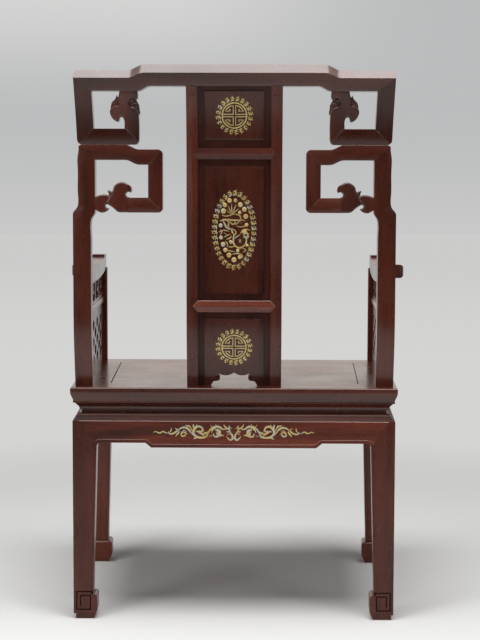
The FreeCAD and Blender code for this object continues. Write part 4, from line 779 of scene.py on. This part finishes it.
# %% Leaf and wreath
LEAF = (
    [(-3.8, -3.8, 0.4), (-4.4, -0.4, 1.1), (-2.4, 2.6, 1.5), (1.2, 2.8, 1.4), (3.4, 0.8, 1.3),
     (3.0, -2.6, 0.4)],
    [(-2.6, 2.4, 1.2), (-4.6, 5.6, 0.3)],
    [(0.6, 2.6, 1.3), (0.4, 6.4, 0.3)],
    [(2.6, 1.6, 1.3), (6.2, 4.4, 0.3)],
    [(-3.6, 0.6, 1.0), (-0.6, -1.0, 0.9), (0.6, -3.0, 0.3)],
)


def leaf_at(x, z, turn, size):
    """The strokes of the leaf, turned, sized and moved."""
    placed = []
    for line in LEAF:
        moved = []
        for a, b, half in line:
            moved.append((
                x + size * (a * math.cos(turn) - b * math.sin(turn)),
                z + size * (a * math.sin(turn) + b * math.cos(turn)),
                half * size,
            ))
        placed.append(moved)
    return placed


def wreath(half_wide, half_high, count, size):
    """Leaves spread evenly along an oval, each with its arch forward along the ring."""
    ring = []
    steps = 720
    places = [
        (half_wide * math.cos(2 * math.pi * i / steps), half_high * math.sin(2 * math.pi * i / steps))
        for i in range(steps + 1)
    ]
    length = [0.0]
    for one, two in zip(places, places[1:]):
        length.append(length[-1] + math.dist(one, two))
    for k in range(count):
        target = length[-1] * (k + 0.5) / count
        i = min(range(steps), key=lambda n: abs(length[n] - target))
        x, z = places[i]
        ahead = math.atan2(places[i + 1][1] - places[i - 1][1], places[i + 1][0] - places[i - 1][0])
        ring += leaf_at(x, z, ahead - math.pi / 2, size * (1.0 + 0.06 * math.sin(7.3 * k)))
    return ring


ROUNDEL_TOP, ROUNDEL_LOW = 985.4, 537.75
ROUNDEL_RADIUS = 23.6
ring_path = [
    (ROUNDEL_RADIUS * math.cos(math.pi * i / 12), ROUNDEL_RADIUS * math.sin(math.pi * i / 12), 1.35)
    for i in range(25)
]
HOOK = [
    (22.6, 2.3), (2.3, 2.3), (2.3, 18.6), (8.8, 17.2), (14.2, 13.0), (17.4, 8.2), (8.8, 8.2), (8.8, 12.2),
]


def roundel(height):
    """A ring with a square hook in each quarter and a wreath of leaves round it."""
    hooks = []
    for side_x in (-1, 1):
        for side_z in (-1, 1):
            hooks.append([(side_x * x, side_z * z, 1.15) for x, z in HOOK])
    square = strokes(hooks, corner="VECTOR")
    round_lines = strokes([ring_path] + wreath(31.4, 31.4, 20, 0.86))
    whole = combine([round_lines, square])
    for point in whole.data.vertices:
        point.co.z += height * MM
    return whole


def both_faces(piece, name, rear_face, front_face, finish):
    """Lays one copy of an ornament on the rear face and one on the front face."""
    twin = own_copy(piece)
    lay(piece, rear_face, 1)
    lay(twin, front_face, -1)
    finish_piece(piece, name + "_rear", finish, replaces=(name + "_rear",), smooth=50)
    finish_piece(twin, name + "_front", finish, replaces=(name + "_front",), smooth=50)


FIELD_RECESS = 3.6


def field_rear(z):
    """The rear field of the splat panels."""
    return back_face(z) - FIELD_RECESS


def field_front(z):
    """The front field of the splat panels."""
    return back_face(z) - SPLAT_THICKNESS + FIELD_RECESS


both_faces(roundel(ROUNDEL_TOP), "inlay_roundel_top", field_rear, field_front, gold_wire)
both_faces(roundel(ROUNDEL_LOW), "inlay_roundel_low", field_rear, field_front, gold_wire)

# %% [markdown]
# ## The tall oval
# Inside the oval wreath a dragon coils among pearls and scraps of cloud: flames rise from its
# head, its jaw is open, its body winds down to a ring, and its claws reach out at both sides. It
# is the usual subject for such a chair, and it is drawn here in free strokes. The pearls are
# flattened spheres.

# %% Dragon among pearls
OVAL_HEIGHT = 765.85
DRAGON = (
    ([(3.3, 31.4), (8.2, 38.1), (11.4, 46.7)], 1.2),
    ([(3.3, 31.4), (5.0, 40.6), (5.0, 51.0)], 1.2),
    ([(3.0, 31.4), (0.3, 40.6), (-3.8, 49.8)], 1.2),
    ([(3.0, 31.4), (-2.6, 36.9), (-8.3, 41.6)], 1.1),
    ([(3.3, 31.0), (10.4, 34.4), (14.7, 39.4)], 1.0),
    ([(3.6, 30.8), (-4.4, 30.6), (-10.8, 27.7), (-12.5, 23.4), (-9.3, 19.5), (-4.4, 18.5)], 1.3),
    ([(24.2, 29.5), (17.2, 27.4), (7.9, 28.9), (3.0, 30.5)], 1.5),
    ([(27.6, 17.8), (20.3, 20.2), (10.4, 20.0), (-0.7, 19.4), (-6.9, 20.2)], 2.2),
    ([(22.1, 19.0), (18.6, 12.3), (14.8, 5.5), (7.9, 1.2)], 2.2),
    ([(15.0, 19.0), (11.6, 16.4), (10.5, 13.0), (12.0, 9.0), (9.0, 4.0)], 1.7),
    ([(8.5, 17.2), (4.2, 12.3), (-2.0, 13.6), (-1.0, 17.2)], 1.9),
    ([(9.3, 3.0), (1.5, 1.6), (-3.6, -4.5), (0.6, -10.3), (1.6, -17.5), (1.4, -24.6), (-2.7, -30.8),
     (-10.1, -33.8), (-18.1, -30.7), (-23.0, -23.3), (-23.3, -15.9), (-19.9, -10.4), (-16.8, -7.3)], 1.9),
    ([(5.4, 2.2), (4.0, -3.0), (1.0, -7.8)], 2.2),
    ([(-8.0, -18.7), (-12.2, -19.0), (-10.4, -22.4), (-13.8, -23.1)], 1.2),
    ([(-11.9, -6.1), (-16.8, 0.1), (-24.2, 1.9), (-30.6, 0.1)], 1.7),
    ([(-13.8, -3.6), (-20.0, -4.2), (-26.4, -7.4), (-24.6, -12.0), (-18.4, -11.6)], 1.9),
    ([(-16.8, -12.9), (-24.2, -15.3), (-29.2, -11.0)], 1.3),
    ([(0.4, -17.2), (-5.1, -12.3), (-11.9, -7.9)], 1.3),
    ([(30.1, -3.8), (25.1, -1.5), (19.0, 0.0), (9.7, -2.7)], 1.4),
    ([(27.6, 1.4), (24.2, -3.7), (27.6, -8.9)], 1.2),
    ([(20.2, -5.2), (14.6, -7.7)], 1.2),
    ([(19.2, -13.6), (14.0, -9.9), (7.2, -7.6)], 1.4),
    ([(16.2, -17.5), (9.1, -15.4), (4.8, -11.1)], 1.5),
    ([(17.7, -20.7), (14.0, -24.7), (12.5, -30.6)], 1.4),
    ([(10.5, -22.8), (6.4, -20.7), (3.9, -23.7), (7.6, -26.1)], 1.2),
    ([(14.0, -31.5), (5.3, -32.3), (-1.5, -30.5)], 1.3),
    ([(16.4, -38.0), (7.8, -40.1), (-0.9, -41.3)], 1.3),
    ([(4.7, -46.6), (-4.6, -45.0), (-13.5, -47.0), (-16.0, -51.1), (-10.2, -54.2)], 1.5),
    ([(-15.4, -35.1), (-21.8, -38.1), (-16.9, -42.8)], 1.2),
    ([(-24.9, -38.1), (-19.4, -41.6)], 1.1),
    ([(-3.2, 9.6), (-6.9, 14.6), (-13.7, 19.8), (-21.1, 18.3)], 1.4),
    ([(-11.6, 13.4), (-15.5, 16.1)], 1.1),
    ([(-4.2, 7.7), (-11.8, 6.5), (-19.2, 7.7), (-27.9, 10.6)], 1.3),
)
PEARLS = (
    (9.2, 57.2, 4.4), (-2.2, 57.2, 3.6), (18.1, 48.6, 4.2), (-11.7, 49.3, 4.6), (20.9, 36.9, 5.0),
    (-19.4, 40.4, 4.5), (-10.5, 34.5, 3.2), (-22.3, 26.5, 4.6), (26.4, 9.2, 3.8), (-23.5, 10.6, 3.6),
    (25.7, -14.2, 3.8), (7.2, -22.2, 3.0), (21.4, -27.2, 4.4), (-24.9, -28.9, 2.9), (17.1, -38.3, 4.2),
    (10.2, -48.1, 4.6), (-7.0, -39.4, 3.4), (0.3, -57.3, 4.8), (-10.8, -52.0, 3.6), (-20.6, -3.6, 4.2),
)
PEARL_RISE = 0.72


def pearl(x, z, radius):
    """A low dome."""
    bpy.ops.object.select_all(action="DESELECT")
    bpy.ops.mesh.primitive_uv_sphere_add(
        segments=16, ring_count=8, radius=radius * MM, location=(x * MM, 0, z * MM),
    )
    dome = bpy.context.object
    bpy.ops.object.transform_apply(location=True)
    for point in dome.data.vertices:
        point.co.y *= PEARL_RISE / radius
    return dome


pearls = [pearl(x, z, radius) for x, z, radius in PEARLS]
dragon = [swelling(path, widest) for path, widest in DRAGON]
oval = combine([strokes(dragon + wreath(38.2, 72.0, 34, 0.96))] + pearls)
for point in oval.data.vertices:
    point.co.z += OVAL_HEIGHT * MM
both_faces(oval, "inlay_oval", field_rear, field_front, gold_and_shell)
print("oval faces", len(bpy.data.meshes["inlay_oval_rear"].polygons))

# %% [markdown]
# ## The vine on the aprons
# A vine runs out from the middle of the apron to both sides: a small curl at the middle, an arch
# with a shell leaf, a full scroll, another arch, a forked leaf and a wavy tendril. Only one half
# is drawn. The other half is the same strokes with x turned round.

# %% Vine
VINE_HEIGHT = 370.05
VINE = (
    ([(156.9, 1.9), (151.5, 3.6), (147.0, 1.4), (142.6, 1.4), (137.5, 4.0), (132.5, 1.1), (126.9, 1.5)],
     1.2),
    ([(126.9, 3.7), (125.2, -0.2), (119.0, -0.2), (113.4, 2.7), (110.1, 7.2), (114.6, 10.6)], 1.6),
    ([(121.8, 11.1), (122.2, 6.0), (125.2, 2.6)], 1.2),
    ([(121.8, -2.5), (116.8, 0.4)], 1.2),
    ([(113.4, -5.8), (110.1, -1.3), (106.7, 3.3), (107.8, 6.7)], 1.5),
    ([(109.0, 6.6), (103.4, 10.1), (96.6, 12.1), (89.9, 9.6), (85.4, 5.1), (83.2, 1.1)], 1.8),
    ([(96.6, 7.3), (101.1, 1.0), (102.8, -2.4)], 1.7),
    ([(103.4, -1.2), (101.1, -4.6), (95.5, -4.0), (92.7, -0.1)], 1.6),
    ([(92.2, 3.9), (96.6, 6.7)], 1.4),
    ([(89.9, -0.6), (94.4, 1.1)], 1.3),
    ([(99.4, 3.0), (95.0, 2.0), (92.4, 2.6)], 1.6),
    ([(94.4, 16.9), (89.9, 14.9), (86.6, 14.9), (83.8, 10.7), (80.6, 5.0)], 1.4),
    ([(79.3, 18.1), (78.2, 13.6), (78.7, 6.8)], 1.7),
    ([(71.5, 17.6), (74.2, 12.5), (77.6, 7.9)], 1.4),
    ([(83.0, 3.0), (79.5, -1.0), (75.4, -4.0)], 1.7),
    ([(56.3, -0.4), (51.9, -2.1), (53.0, -5.5), (59.7, -7.6), (68.6, -7.3), (75.4, -3.9), (78.7, 1.7),
     (76.5, 8.5), (70.9, 13.6), (64.2, 13.1), (60.3, 8.6), (62.5, 4.0), (66.4, 5.7)], 2.0),
    ([(57.5, 5.2), (63.1, 6.3)], 1.6),
    ([(74.2, 4.0), (68.6, 4.0), (62.5, 0.1), (56.3, -5.5)], 1.9),
    ([(68.6, 1.8), (63.0, -1.6)], 1.5),
    ([(78.2, -11.1), (74.2, -8.4), (68.6, -7.6)], 1.5),
    ([(63.0, -0.5), (56.3, 1.2), (50.7, 3.0), (48.5, 5.8)], 1.3),
    ([(50.7, -2.1), (48.5, 4.1), (42.9, 10.3), (35.1, 13.8), (27.2, 12.7), (21.1, 8.8), (14.9, 8.8)],
     2.0),
    ([(43.5, 1.9), (40.7, 8.1), (34.0, 11.0)], 1.4),
    ([(45.2, 17.7), (42.4, 12.5)], 1.3),
    ([(35.1, 18.9), (34.0, 13.9)], 1.3),
    ([(30.1, 17.2), (28.4, 12.8)], 1.2),
    ([(40.1, 0.2), (37.3, -5.4), (31.7, -5.4), (25.5, -3.1), (19.4, -3.7)], 1.9),
    ([(35.6, 7.4), (31.0, 6.6), (27.4, 3.2), (26.6, -1.6)], 2.9),
    ([(33.6, 2.6), (30.2, -1.2), (25.6, -4.2)], 2.6),
    ([(48.5, -5.5), (42.9, -3.8)], 1.5),
    ([(19.4, 18.4), (17.2, 13.9), (12.7, 11.6)], 1.5),
    ([(9.4, 16.2), (8.2, 11.6), (12.7, 8.8)], 1.5),
    ([(2.6, 10.0), (7.1, 11.6)], 1.3),
    ([(14.4, 3.7), (9.3, 4.3), (7.1, 8.3)], 1.6),
    ([(17.6, 9.4), (12.0, 10.4), (9.0, 6.6)], 1.7),
    ([(13.8, -5.3), (10.4, -9.8), (5.9, -12.1), (2.6, -9.2), (2.6, -4.1), (6.0, 1.5), (8.2, 6.0)], 1.8),
    ([(12.7, -1.4), (7.1, -0.2)], 1.4),
)
APRON_REAR = 237.64
APRON_FRONT = -263.36
half_vine = [swelling(path, widest * 1.24, ends=0.34) for path, widest in VINE]
other_half = [[(-x, z, half) for x, z, half in line] for line in half_vine]
vine = strokes(half_vine + other_half)
for point in vine.data.vertices:
    point.co.z += VINE_HEIGHT * MM
both_faces(vine, "inlay_apron", lambda z: APRON_REAR, lambda z: APRON_FRONT, shell_and_gold)
print("vine faces", len(bpy.data.meshes["inlay_apron_rear"].polygons))

# %% [markdown]
# ## Carved clouds
# The free ends of the fret bars are carved as clouds: a thick curl with a hooked tip, and softer
# lobes behind it. A carver saws the outline first, then rounds it over. We do the same: a
# flat curve gives the outline, its extrusion the thickness and its bevel the rounded edge. Low
# domes are added for the lobes. A voxel Remesh melts all of it together, and a Smooth modifier
# rubs it down.

# %% Slabs, domes and the carving
VOXEL = 0.9 * MM


def slab(outline, half, round_off=3.2):
    """A rounded slab from an outline of (x, z) points; a third value of 1 keeps a corner sharp."""
    bpy.ops.object.select_all(action="DESELECT")
    bpy.ops.curve.primitive_bezier_circle_add(location=(0, 0, 0))
    drawing = bpy.context.object
    curve = drawing.data
    curve.dimensions = "2D"
    curve.fill_mode = "BOTH"
    curve.resolution_u = 5
    curve.extrude = (half - round_off) * MM
    curve.bevel_depth = round_off * MM
    curve.bevel_resolution = 3
    curve.offset = -round_off * MM
    spline = curve.splines[0]
    spline.bezier_points.add(len(outline) - len(spline.bezier_points))
    for point, place in zip(spline.bezier_points, outline):
        kind = "VECTOR" if len(place) > 2 else "AUTO"
        point.handle_left_type = point.handle_right_type = kind
        point.co = (place[0] * MM, place[1] * MM, 0.0)
    bpy.ops.object.convert(target="MESH")
    body = bpy.context.object
    for point in body.data.vertices:
        point.co = (point.co.x, point.co.z, point.co.y)
    take(body)
    bpy.ops.object.mode_set(mode="EDIT")
    bpy.ops.mesh.select_all(action="SELECT")
    bpy.ops.mesh.remove_doubles(threshold=MERGE)
    bpy.ops.mesh.normals_make_consistent(inside=False)
    bpy.ops.object.mode_set(mode="OBJECT")
    return body


def dome(x, z, half_wide, half_high, half):
    """A full egg-shaped lobe."""
    bpy.ops.object.select_all(action="DESELECT")
    bpy.ops.mesh.primitive_uv_sphere_add(segments=32, ring_count=16, radius=MM)
    lobe = bpy.context.object
    for point in lobe.data.vertices:
        point.co = (point.co.x * half_wide + x * MM, point.co.y * half, point.co.z * half_high + z * MM)
    return lobe


def carve(name, parts, thickness, rubbing=7):
    """Melts slabs and domes into one carving, and fits it and its twin to the back."""
    body = combine(parts)
    melt = body.modifiers.new("melt", "REMESH")
    melt.mode = "VOXEL"
    melt.voxel_size = VOXEL
    bpy.ops.object.modifier_apply(modifier="melt")
    rub = body.modifiers.new("rub", "SMOOTH")
    rub.factor = 0.5
    rub.iterations = rubbing
    bpy.ops.object.modifier_apply(modifier="rub")
    lay(body, lambda z: back_face(z) - thickness / 2, 1)
    twin = own_copy(body)
    for point in twin.data.vertices:
        point.co.x *= -1
    flip_faces(twin)
    return body, twin


FRET_THICKNESS = 28.0
HALF = 12.9
upper_stem = [
    (219.0, 1031.5, 1), (185.0, 1031.5, 1), (184.5, 1018.9), (187.0, 1014.7), (190.6, 1011.7, 1),
    (193.6, 1015.4), (197.9, 1016.1), (200.6, 1012.5), (201.5, 1007.6), (199.1, 1002.6), (189.0, 998.0),
    (184.4, 991.9), (183.1, 981.2), (183.1, 940.0, 1), (184.2, 934.6, 1), (187.0, 933.4, 1),
    (211.6, 960.4, 1), (211.5, 975.4), (213.2, 980.0), (217.2, 982.6), (220.2, 980.7), (221.4, 976.1),
    (223.0, 972.9, 1), (228.4, 974.6), (234.2, 979.6), (237.6, 986.1), (238.8, 991.8), (236.5, 998.2),
    (229.1, 1002.9), (224.7, 1003.3), (222.3, 1006.8), (223.6, 1011.8), (222.0, 1018.2),
]
left_lobe = [
    (225.2, 1024.5, 1), (228.2, 1016.7), (233.9, 1011.1), (236.7, 1003.9), (237.3, 996.8), (227.7, 992.3),
    (216.9, 1000.1), (220.3, 1009.7), (222.1, 1016.7),
]
right_lobe = [
    (199.0, 1018.4), (188.8, 1014.6), (183.6, 1007.2), (182.0, 998.3), (182.6, 986.3), (189.9, 986.2),
    (204.8, 1001.2), (203.8, 1009.7),
]
for body, side in zip(carve("cloud", [
    slab(upper_stem, HALF), slab(left_lobe, 7.4), slab(right_lobe, 6.8),
    dome(231.0, 1003.5, 6.2, 9.6, 9.6), dome(191.5, 1002.5, 9.4, 9.6, 10.4),
], FRET_THICKNESS), ("_right", "_left")):
    finish_piece(body, "carved_cloud" + side, wood_carved, replaces=("upper_fret_cloud" + side,), smooth=180)
print("cloud faces", len(bpy.data.meshes["carved_cloud_right"].polygons))

# %% [markdown]
# ## The foot of the lower fret
# The lower fret ends in a rising curl, a smaller curl that hangs against the post, and a pointed
# leaf between them. Its straight bar keeps the sawn ridge of the timber part. So a copy of that
# part is cut off where the carving starts and then eased, and the carving is fitted to it.

# %% Carved foot
foot_curl = [
    (204.5, 826.4, 1), (208.1, 830.5), (210.3, 835.7), (206.4, 839.1), (200.3, 840.1, 1), (200.7, 845.1),
    (205.4, 852.8), (212.3, 857.3), (219.2, 858.4), (227.0, 855.3), (233.1, 849.3), (235.0, 841.6),
    (238.9, 834.4), (243.2, 826.1), (247.0, 817.5), (240.1, 812.4), (232.4, 806.4), (226.4, 801.2),
    (221.2, 799.6, 1), (202.0, 799.6, 1), (202.0, 826.2, 1),
]
small_curl = [
    (271.0, 826.9), (263.3, 832.1), (254.7, 834.2), (246.9, 833.8), (240.0, 830.4), (234.9, 822.7),
    (240.1, 816.7), (247.0, 816.7), (250.0, 813.2), (247.9, 808.9), (242.3, 807.2, 1), (247.1, 802.0),
    (256.6, 799.0), (264.8, 802.0), (271.1, 808.0),
]
foot_leaf = [
    (246.0, 843.3, 1), (240.0, 841.2), (234.8, 839.0), (231.4, 831.3), (234.9, 824.4), (240.0, 829.6),
    (243.9, 837.3),
]
BAR_END = 206.0
for body, side in zip(carve("foot", [
    slab(foot_curl, HALF), slab(small_curl, 11.4), slab(foot_leaf, 9.6, round_off=2.0),
    dome(219.0, 844.5, 13.6, 12.6, 13.2), dome(255.6, 823.0, 13.0, 10.8, 11.8),
], FRET_THICKNESS), ("_right", "_left")):
    end = BAR_END if side == "_right" else -BAR_END
    eased("lower_fret_foot" + side, wood_foot_bar, name="bar_of_", keep_to=end)
    finish_piece(body, "carved_foot" + side, wood_carved, smooth=180)
print("foot faces", len(bpy.data.meshes["carved_foot_right"].polygons))

# %% [markdown]
# ## The studio floor
# The photograph has a pale seamless ground. The floor is a wide disc of matt paper, so it takes
# a real shadow near the chair. Far away it fades to an even pale tone that matches the backdrop,
# so no horizon shows. A Light Path node limits that tone to what the camera, a reflection or
# glass sees, so it adds no light to the chair. Behind the camera the studio is dark, and that is
# what polished wood shows when one looks straight at it: the far floor is dark there.

# %% Floor
BACKDROP_LOW = (0.66, 0.66, 0.65, 1.0)
BACKDROP_HIGH = (0.50, 0.505, 0.51, 1.0)
DARK_ROOM = (0.022, 0.022, 0.024, 1.0)
FLOOR_RADIUS = 30.0
NEAR_FADE = (0.8, 2.1)
LATE_FADE = (1.9, 3.2)


def ray_mask(nodes, links, *kinds):
    """A mask that is 1 for the named kinds of rays."""
    path = nodes.new("ShaderNodeLightPath")
    mask = path.outputs[kinds[0]]
    for kind in kinds[1:]:
        either = math_node(nodes, "MAXIMUM")
        links.new(mask, either.inputs[0])
        links.new(path.outputs[kind], either.inputs[1])
        mask = either.outputs[0]
    return mask


def smooth_step(nodes, links, source, low, high):
    """A mask that rises smoothly from 0 to 1 between two values."""
    step = nodes.new("ShaderNodeMapRange")
    step.interpolation_type = "SMOOTHSTEP"
    step.inputs["From Min"].default_value = low
    step.inputs["From Max"].default_value = high
    links.new(source, step.inputs["Value"])
    return step.outputs["Result"]


def product(nodes, links, one, two):
    """One mask times another."""
    both = math_node(nodes, "MULTIPLY")
    links.new(one, both.inputs[0])
    links.new(two, both.inputs[1])
    return both.outputs[0]


def colour_mix(nodes, links, mask, one, two):
    """A colour between two others; each is a plain colour or an output."""
    mix = nodes.new("ShaderNodeMix")
    mix.data_type = "RGBA"
    links.new(mask, mix.inputs["Factor"])
    for socket, colour in (("A", one), ("B", two)):
        if isinstance(colour, tuple):
            mix.inputs[socket].default_value = colour
        else:
            links.new(colour, mix.inputs[socket])
    return mix.outputs["Result"]


bpy.ops.object.select_all(action="DESELECT")
bpy.ops.mesh.primitive_circle_add(vertices=96, radius=FLOOR_RADIUS, fill_type="NGON", location=(0, 0, 0))
floor = bpy.context.object
floor.name = "studio_floor"
paper = bpy.data.materials.new("studio_paper")
paper.use_nodes = True
nodes, links = paper.node_tree.nodes, paper.node_tree.links
matt = nodes["Principled BSDF"]
matt.inputs["Roughness"].default_value = 0.9
matt.inputs["Specular IOR Level"].default_value = 0.1
where = nodes.new("ShaderNodeTexCoord")
axes = nodes.new("ShaderNodeSeparateXYZ")
links.new(where.outputs["Object"], axes.inputs["Vector"])
# The paper's own colour is lighter towards the camera and darker beyond the chair: a painted light gradient.
floor_light_gradient = smooth_step(nodes, links, axes.outputs["Y"], -0.45, 0.75)
links.new(
    colour_mix(nodes, links, floor_light_gradient, (0.86, 0.86, 0.85, 1.0), (0.92, 0.92, 0.91, 1.0)),
    matt.inputs["Base Color"],
)
distance = nodes.new("ShaderNodeVectorMath")
distance.operation = "LENGTH"
links.new(where.outputs["Object"], distance.inputs[0])
rising = smooth_step(nodes, links, distance.outputs["Value"], 2.0, 16.0)
pale = colour_mix(nodes, links, rising, BACKDROP_LOW, (0.60, 0.60, 0.595, 1.0))
behind = smooth_step(nodes, links, axes.outputs["Y"], 0.3, 1.2)
behind = product(nodes, links, behind, ray_mask(nodes, links, "Is Glossy Ray"))
far_tone = nodes.new("ShaderNodeEmission")
links.new(colour_mix(nodes, links, behind, pale, DARK_ROOM), far_tone.inputs["Color"])
near_fade = smooth_step(nodes, links, distance.outputs["Value"], *NEAR_FADE)
late_fade = smooth_step(nodes, links, distance.outputs["Value"], *LATE_FADE)
fade = colour_mix(nodes, links, behind, near_fade, late_fade)
blend_in = nodes.new("ShaderNodeMixShader")
seen = ray_mask(nodes, links, "Is Camera Ray", "Is Glossy Ray", "Is Transmission Ray")
links.new(product(nodes, links, fade, seen), blend_in.inputs["Fac"])
links.new(matt.outputs["BSDF"], blend_in.inputs[1])
links.new(far_tone.outputs["Emission"], blend_in.inputs[2])
links.new(blend_in.outputs["Shader"], nodes["Material Output"].inputs["Surface"])
floor.data.materials.append(paper)
floor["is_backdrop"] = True
print("floor", floor.name)

# %% [markdown]
# ## The room
# A world can look different to different rays. The camera sees a pale backdrop that darkens a
# little towards the top, more on one side than on the other. Reflections see what stood in the
# studio: the pale backdrop on the far side, and a dark room behind the camera with a dim band of
# light low down and a bright one high up. The bright band draws the light lines along the eased
# edges. Everything else only receives an even soft light, which keeps the shadows from going black.

# %% World
world = bpy.data.worlds.new("studio_room")
bpy.context.scene.world = world
world.use_nodes = True
nodes, links = world.node_tree.nodes, world.node_tree.links
where = nodes.new("ShaderNodeTexCoord")
axes = nodes.new("ShaderNodeSeparateXYZ")
links.new(where.outputs["Generated"], axes.inputs["Vector"])
up_the_wall = smooth_step(nodes, links, axes.outputs["Z"], -0.06, 0.06)
backdrop = nodes.new("ShaderNodeBackground")
wall = colour_mix(nodes, links, up_the_wall, (0.60, 0.60, 0.595, 1.0), BACKDROP_HIGH)
top_light = smooth_step(nodes, links, axes.outputs["Z"], 0.05, 0.14)
top_light = product(nodes, links, top_light, smooth_step(nodes, links, axes.outputs["X"], -0.12, 0.08))
links.new(colour_mix(nodes, links, top_light, wall, (0.66, 0.66, 0.655, 1.0)), backdrop.inputs["Color"])
high_up = smooth_step(nodes, links, axes.outputs["Z"], 0.15, 0.55)
far_side = colour_mix(nodes, links, high_up, (0.78, 0.72, 0.67, 1.0), (1.05, 1.0, 0.96, 1.0))


def band(low, high, soft):
    """A soft-edged stripe of the sky between two heights, from 0 at the horizon to 1 overhead."""
    rise = smooth_step(nodes, links, axes.outputs["Z"], low - soft, low + soft)
    drop = smooth_step(nodes, links, axes.outputs["Z"], high + soft, high - soft)
    return product(nodes, links, rise, drop)


camera_side = colour_mix(nodes, links, band(0.12, 0.42, 0.08), DARK_ROOM, (0.20, 0.20, 0.21, 1.0))
camera_side = colour_mix(nodes, links, band(0.58, 0.90, 0.04), camera_side, (3.0, 2.9, 2.8, 1.0))
towards = smooth_step(nodes, links, axes.outputs["Y"], -0.25, 0.35)
mirrored = nodes.new("ShaderNodeBackground")
links.new(colour_mix(nodes, links, towards, far_side, camera_side), mirrored.inputs["Color"])
room = nodes["Background"]
room.inputs["Color"].default_value = (0.16, 0.16, 0.16, 1.0)
choose = nodes.new("ShaderNodeMixShader")
links.new(ray_mask(nodes, links, "Is Glossy Ray"), choose.inputs["Fac"])
links.new(room.outputs["Background"], choose.inputs[1])
links.new(mirrored.outputs["Background"], choose.inputs[2])
seen = nodes.new("ShaderNodeMixShader")
links.new(ray_mask(nodes, links, "Is Camera Ray", "Is Transmission Ray"), seen.inputs["Fac"])
links.new(choose.outputs["Shader"], seen.inputs[1])
links.new(backdrop.outputs["Background"], seen.inputs[2])
links.new(seen.outputs["Shader"], nodes["World Output"].inputs["Surface"])
print("world", world.name)

# %% [markdown]
# ## Lamps
# One large box hangs over the chair, a little towards the camera, and makes the dark soft shadow
# under the seat. Two tall boxes stand at the left and right of the camera and light the back
# of the chair. Large lamps give broad, gentle highlights, which suit polished wood.

# %% Place the lamps
def soft_box(name, place, target, size, power):
    """A large rectangular lamp that faces a point."""
    bpy.ops.object.select_all(action="DESELECT")
    bpy.ops.object.light_add(type="AREA", location=place)
    lamp = bpy.context.object
    lamp.name = name
    lamp.data.shape = "RECTANGLE"
    lamp.data.size, lamp.data.size_y = size
    lamp.data.energy = power
    lamp.rotation_euler = (Vector(target) - Vector(place)).to_track_quat("-Z", "Y").to_euler()
    return lamp


soft_box("overhead_box", (0.03, 0.72, 2.9), (0.0, 0.0, 0.3), (2.1, 1.5), 76.0)
soft_box("left_box", (2.6, 3.0, 1.7), (0.0, 0.0, 0.6), (1.2, 1.8), 28.0)
soft_box("right_box", (-2.8, 2.8, 1.6), (0.0, 0.0, 0.6), (1.2, 1.8), 18.0)
bpy.context.scene.view_settings.view_transform = "Standard"

# %% [markdown]
# ## Proof of size
# The looks must not change the size of the chair. The box from the start and the box of the
# finished chair are compared, and the growth is printed.

# %% Write the sizes and finish
box_after = [list(corner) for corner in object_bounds()]
growth = [[round((b - a) / MM, 2) for a, b in zip(one, two)] for one, two in zip(box_before, box_after)]
print("growth in mm", growth)
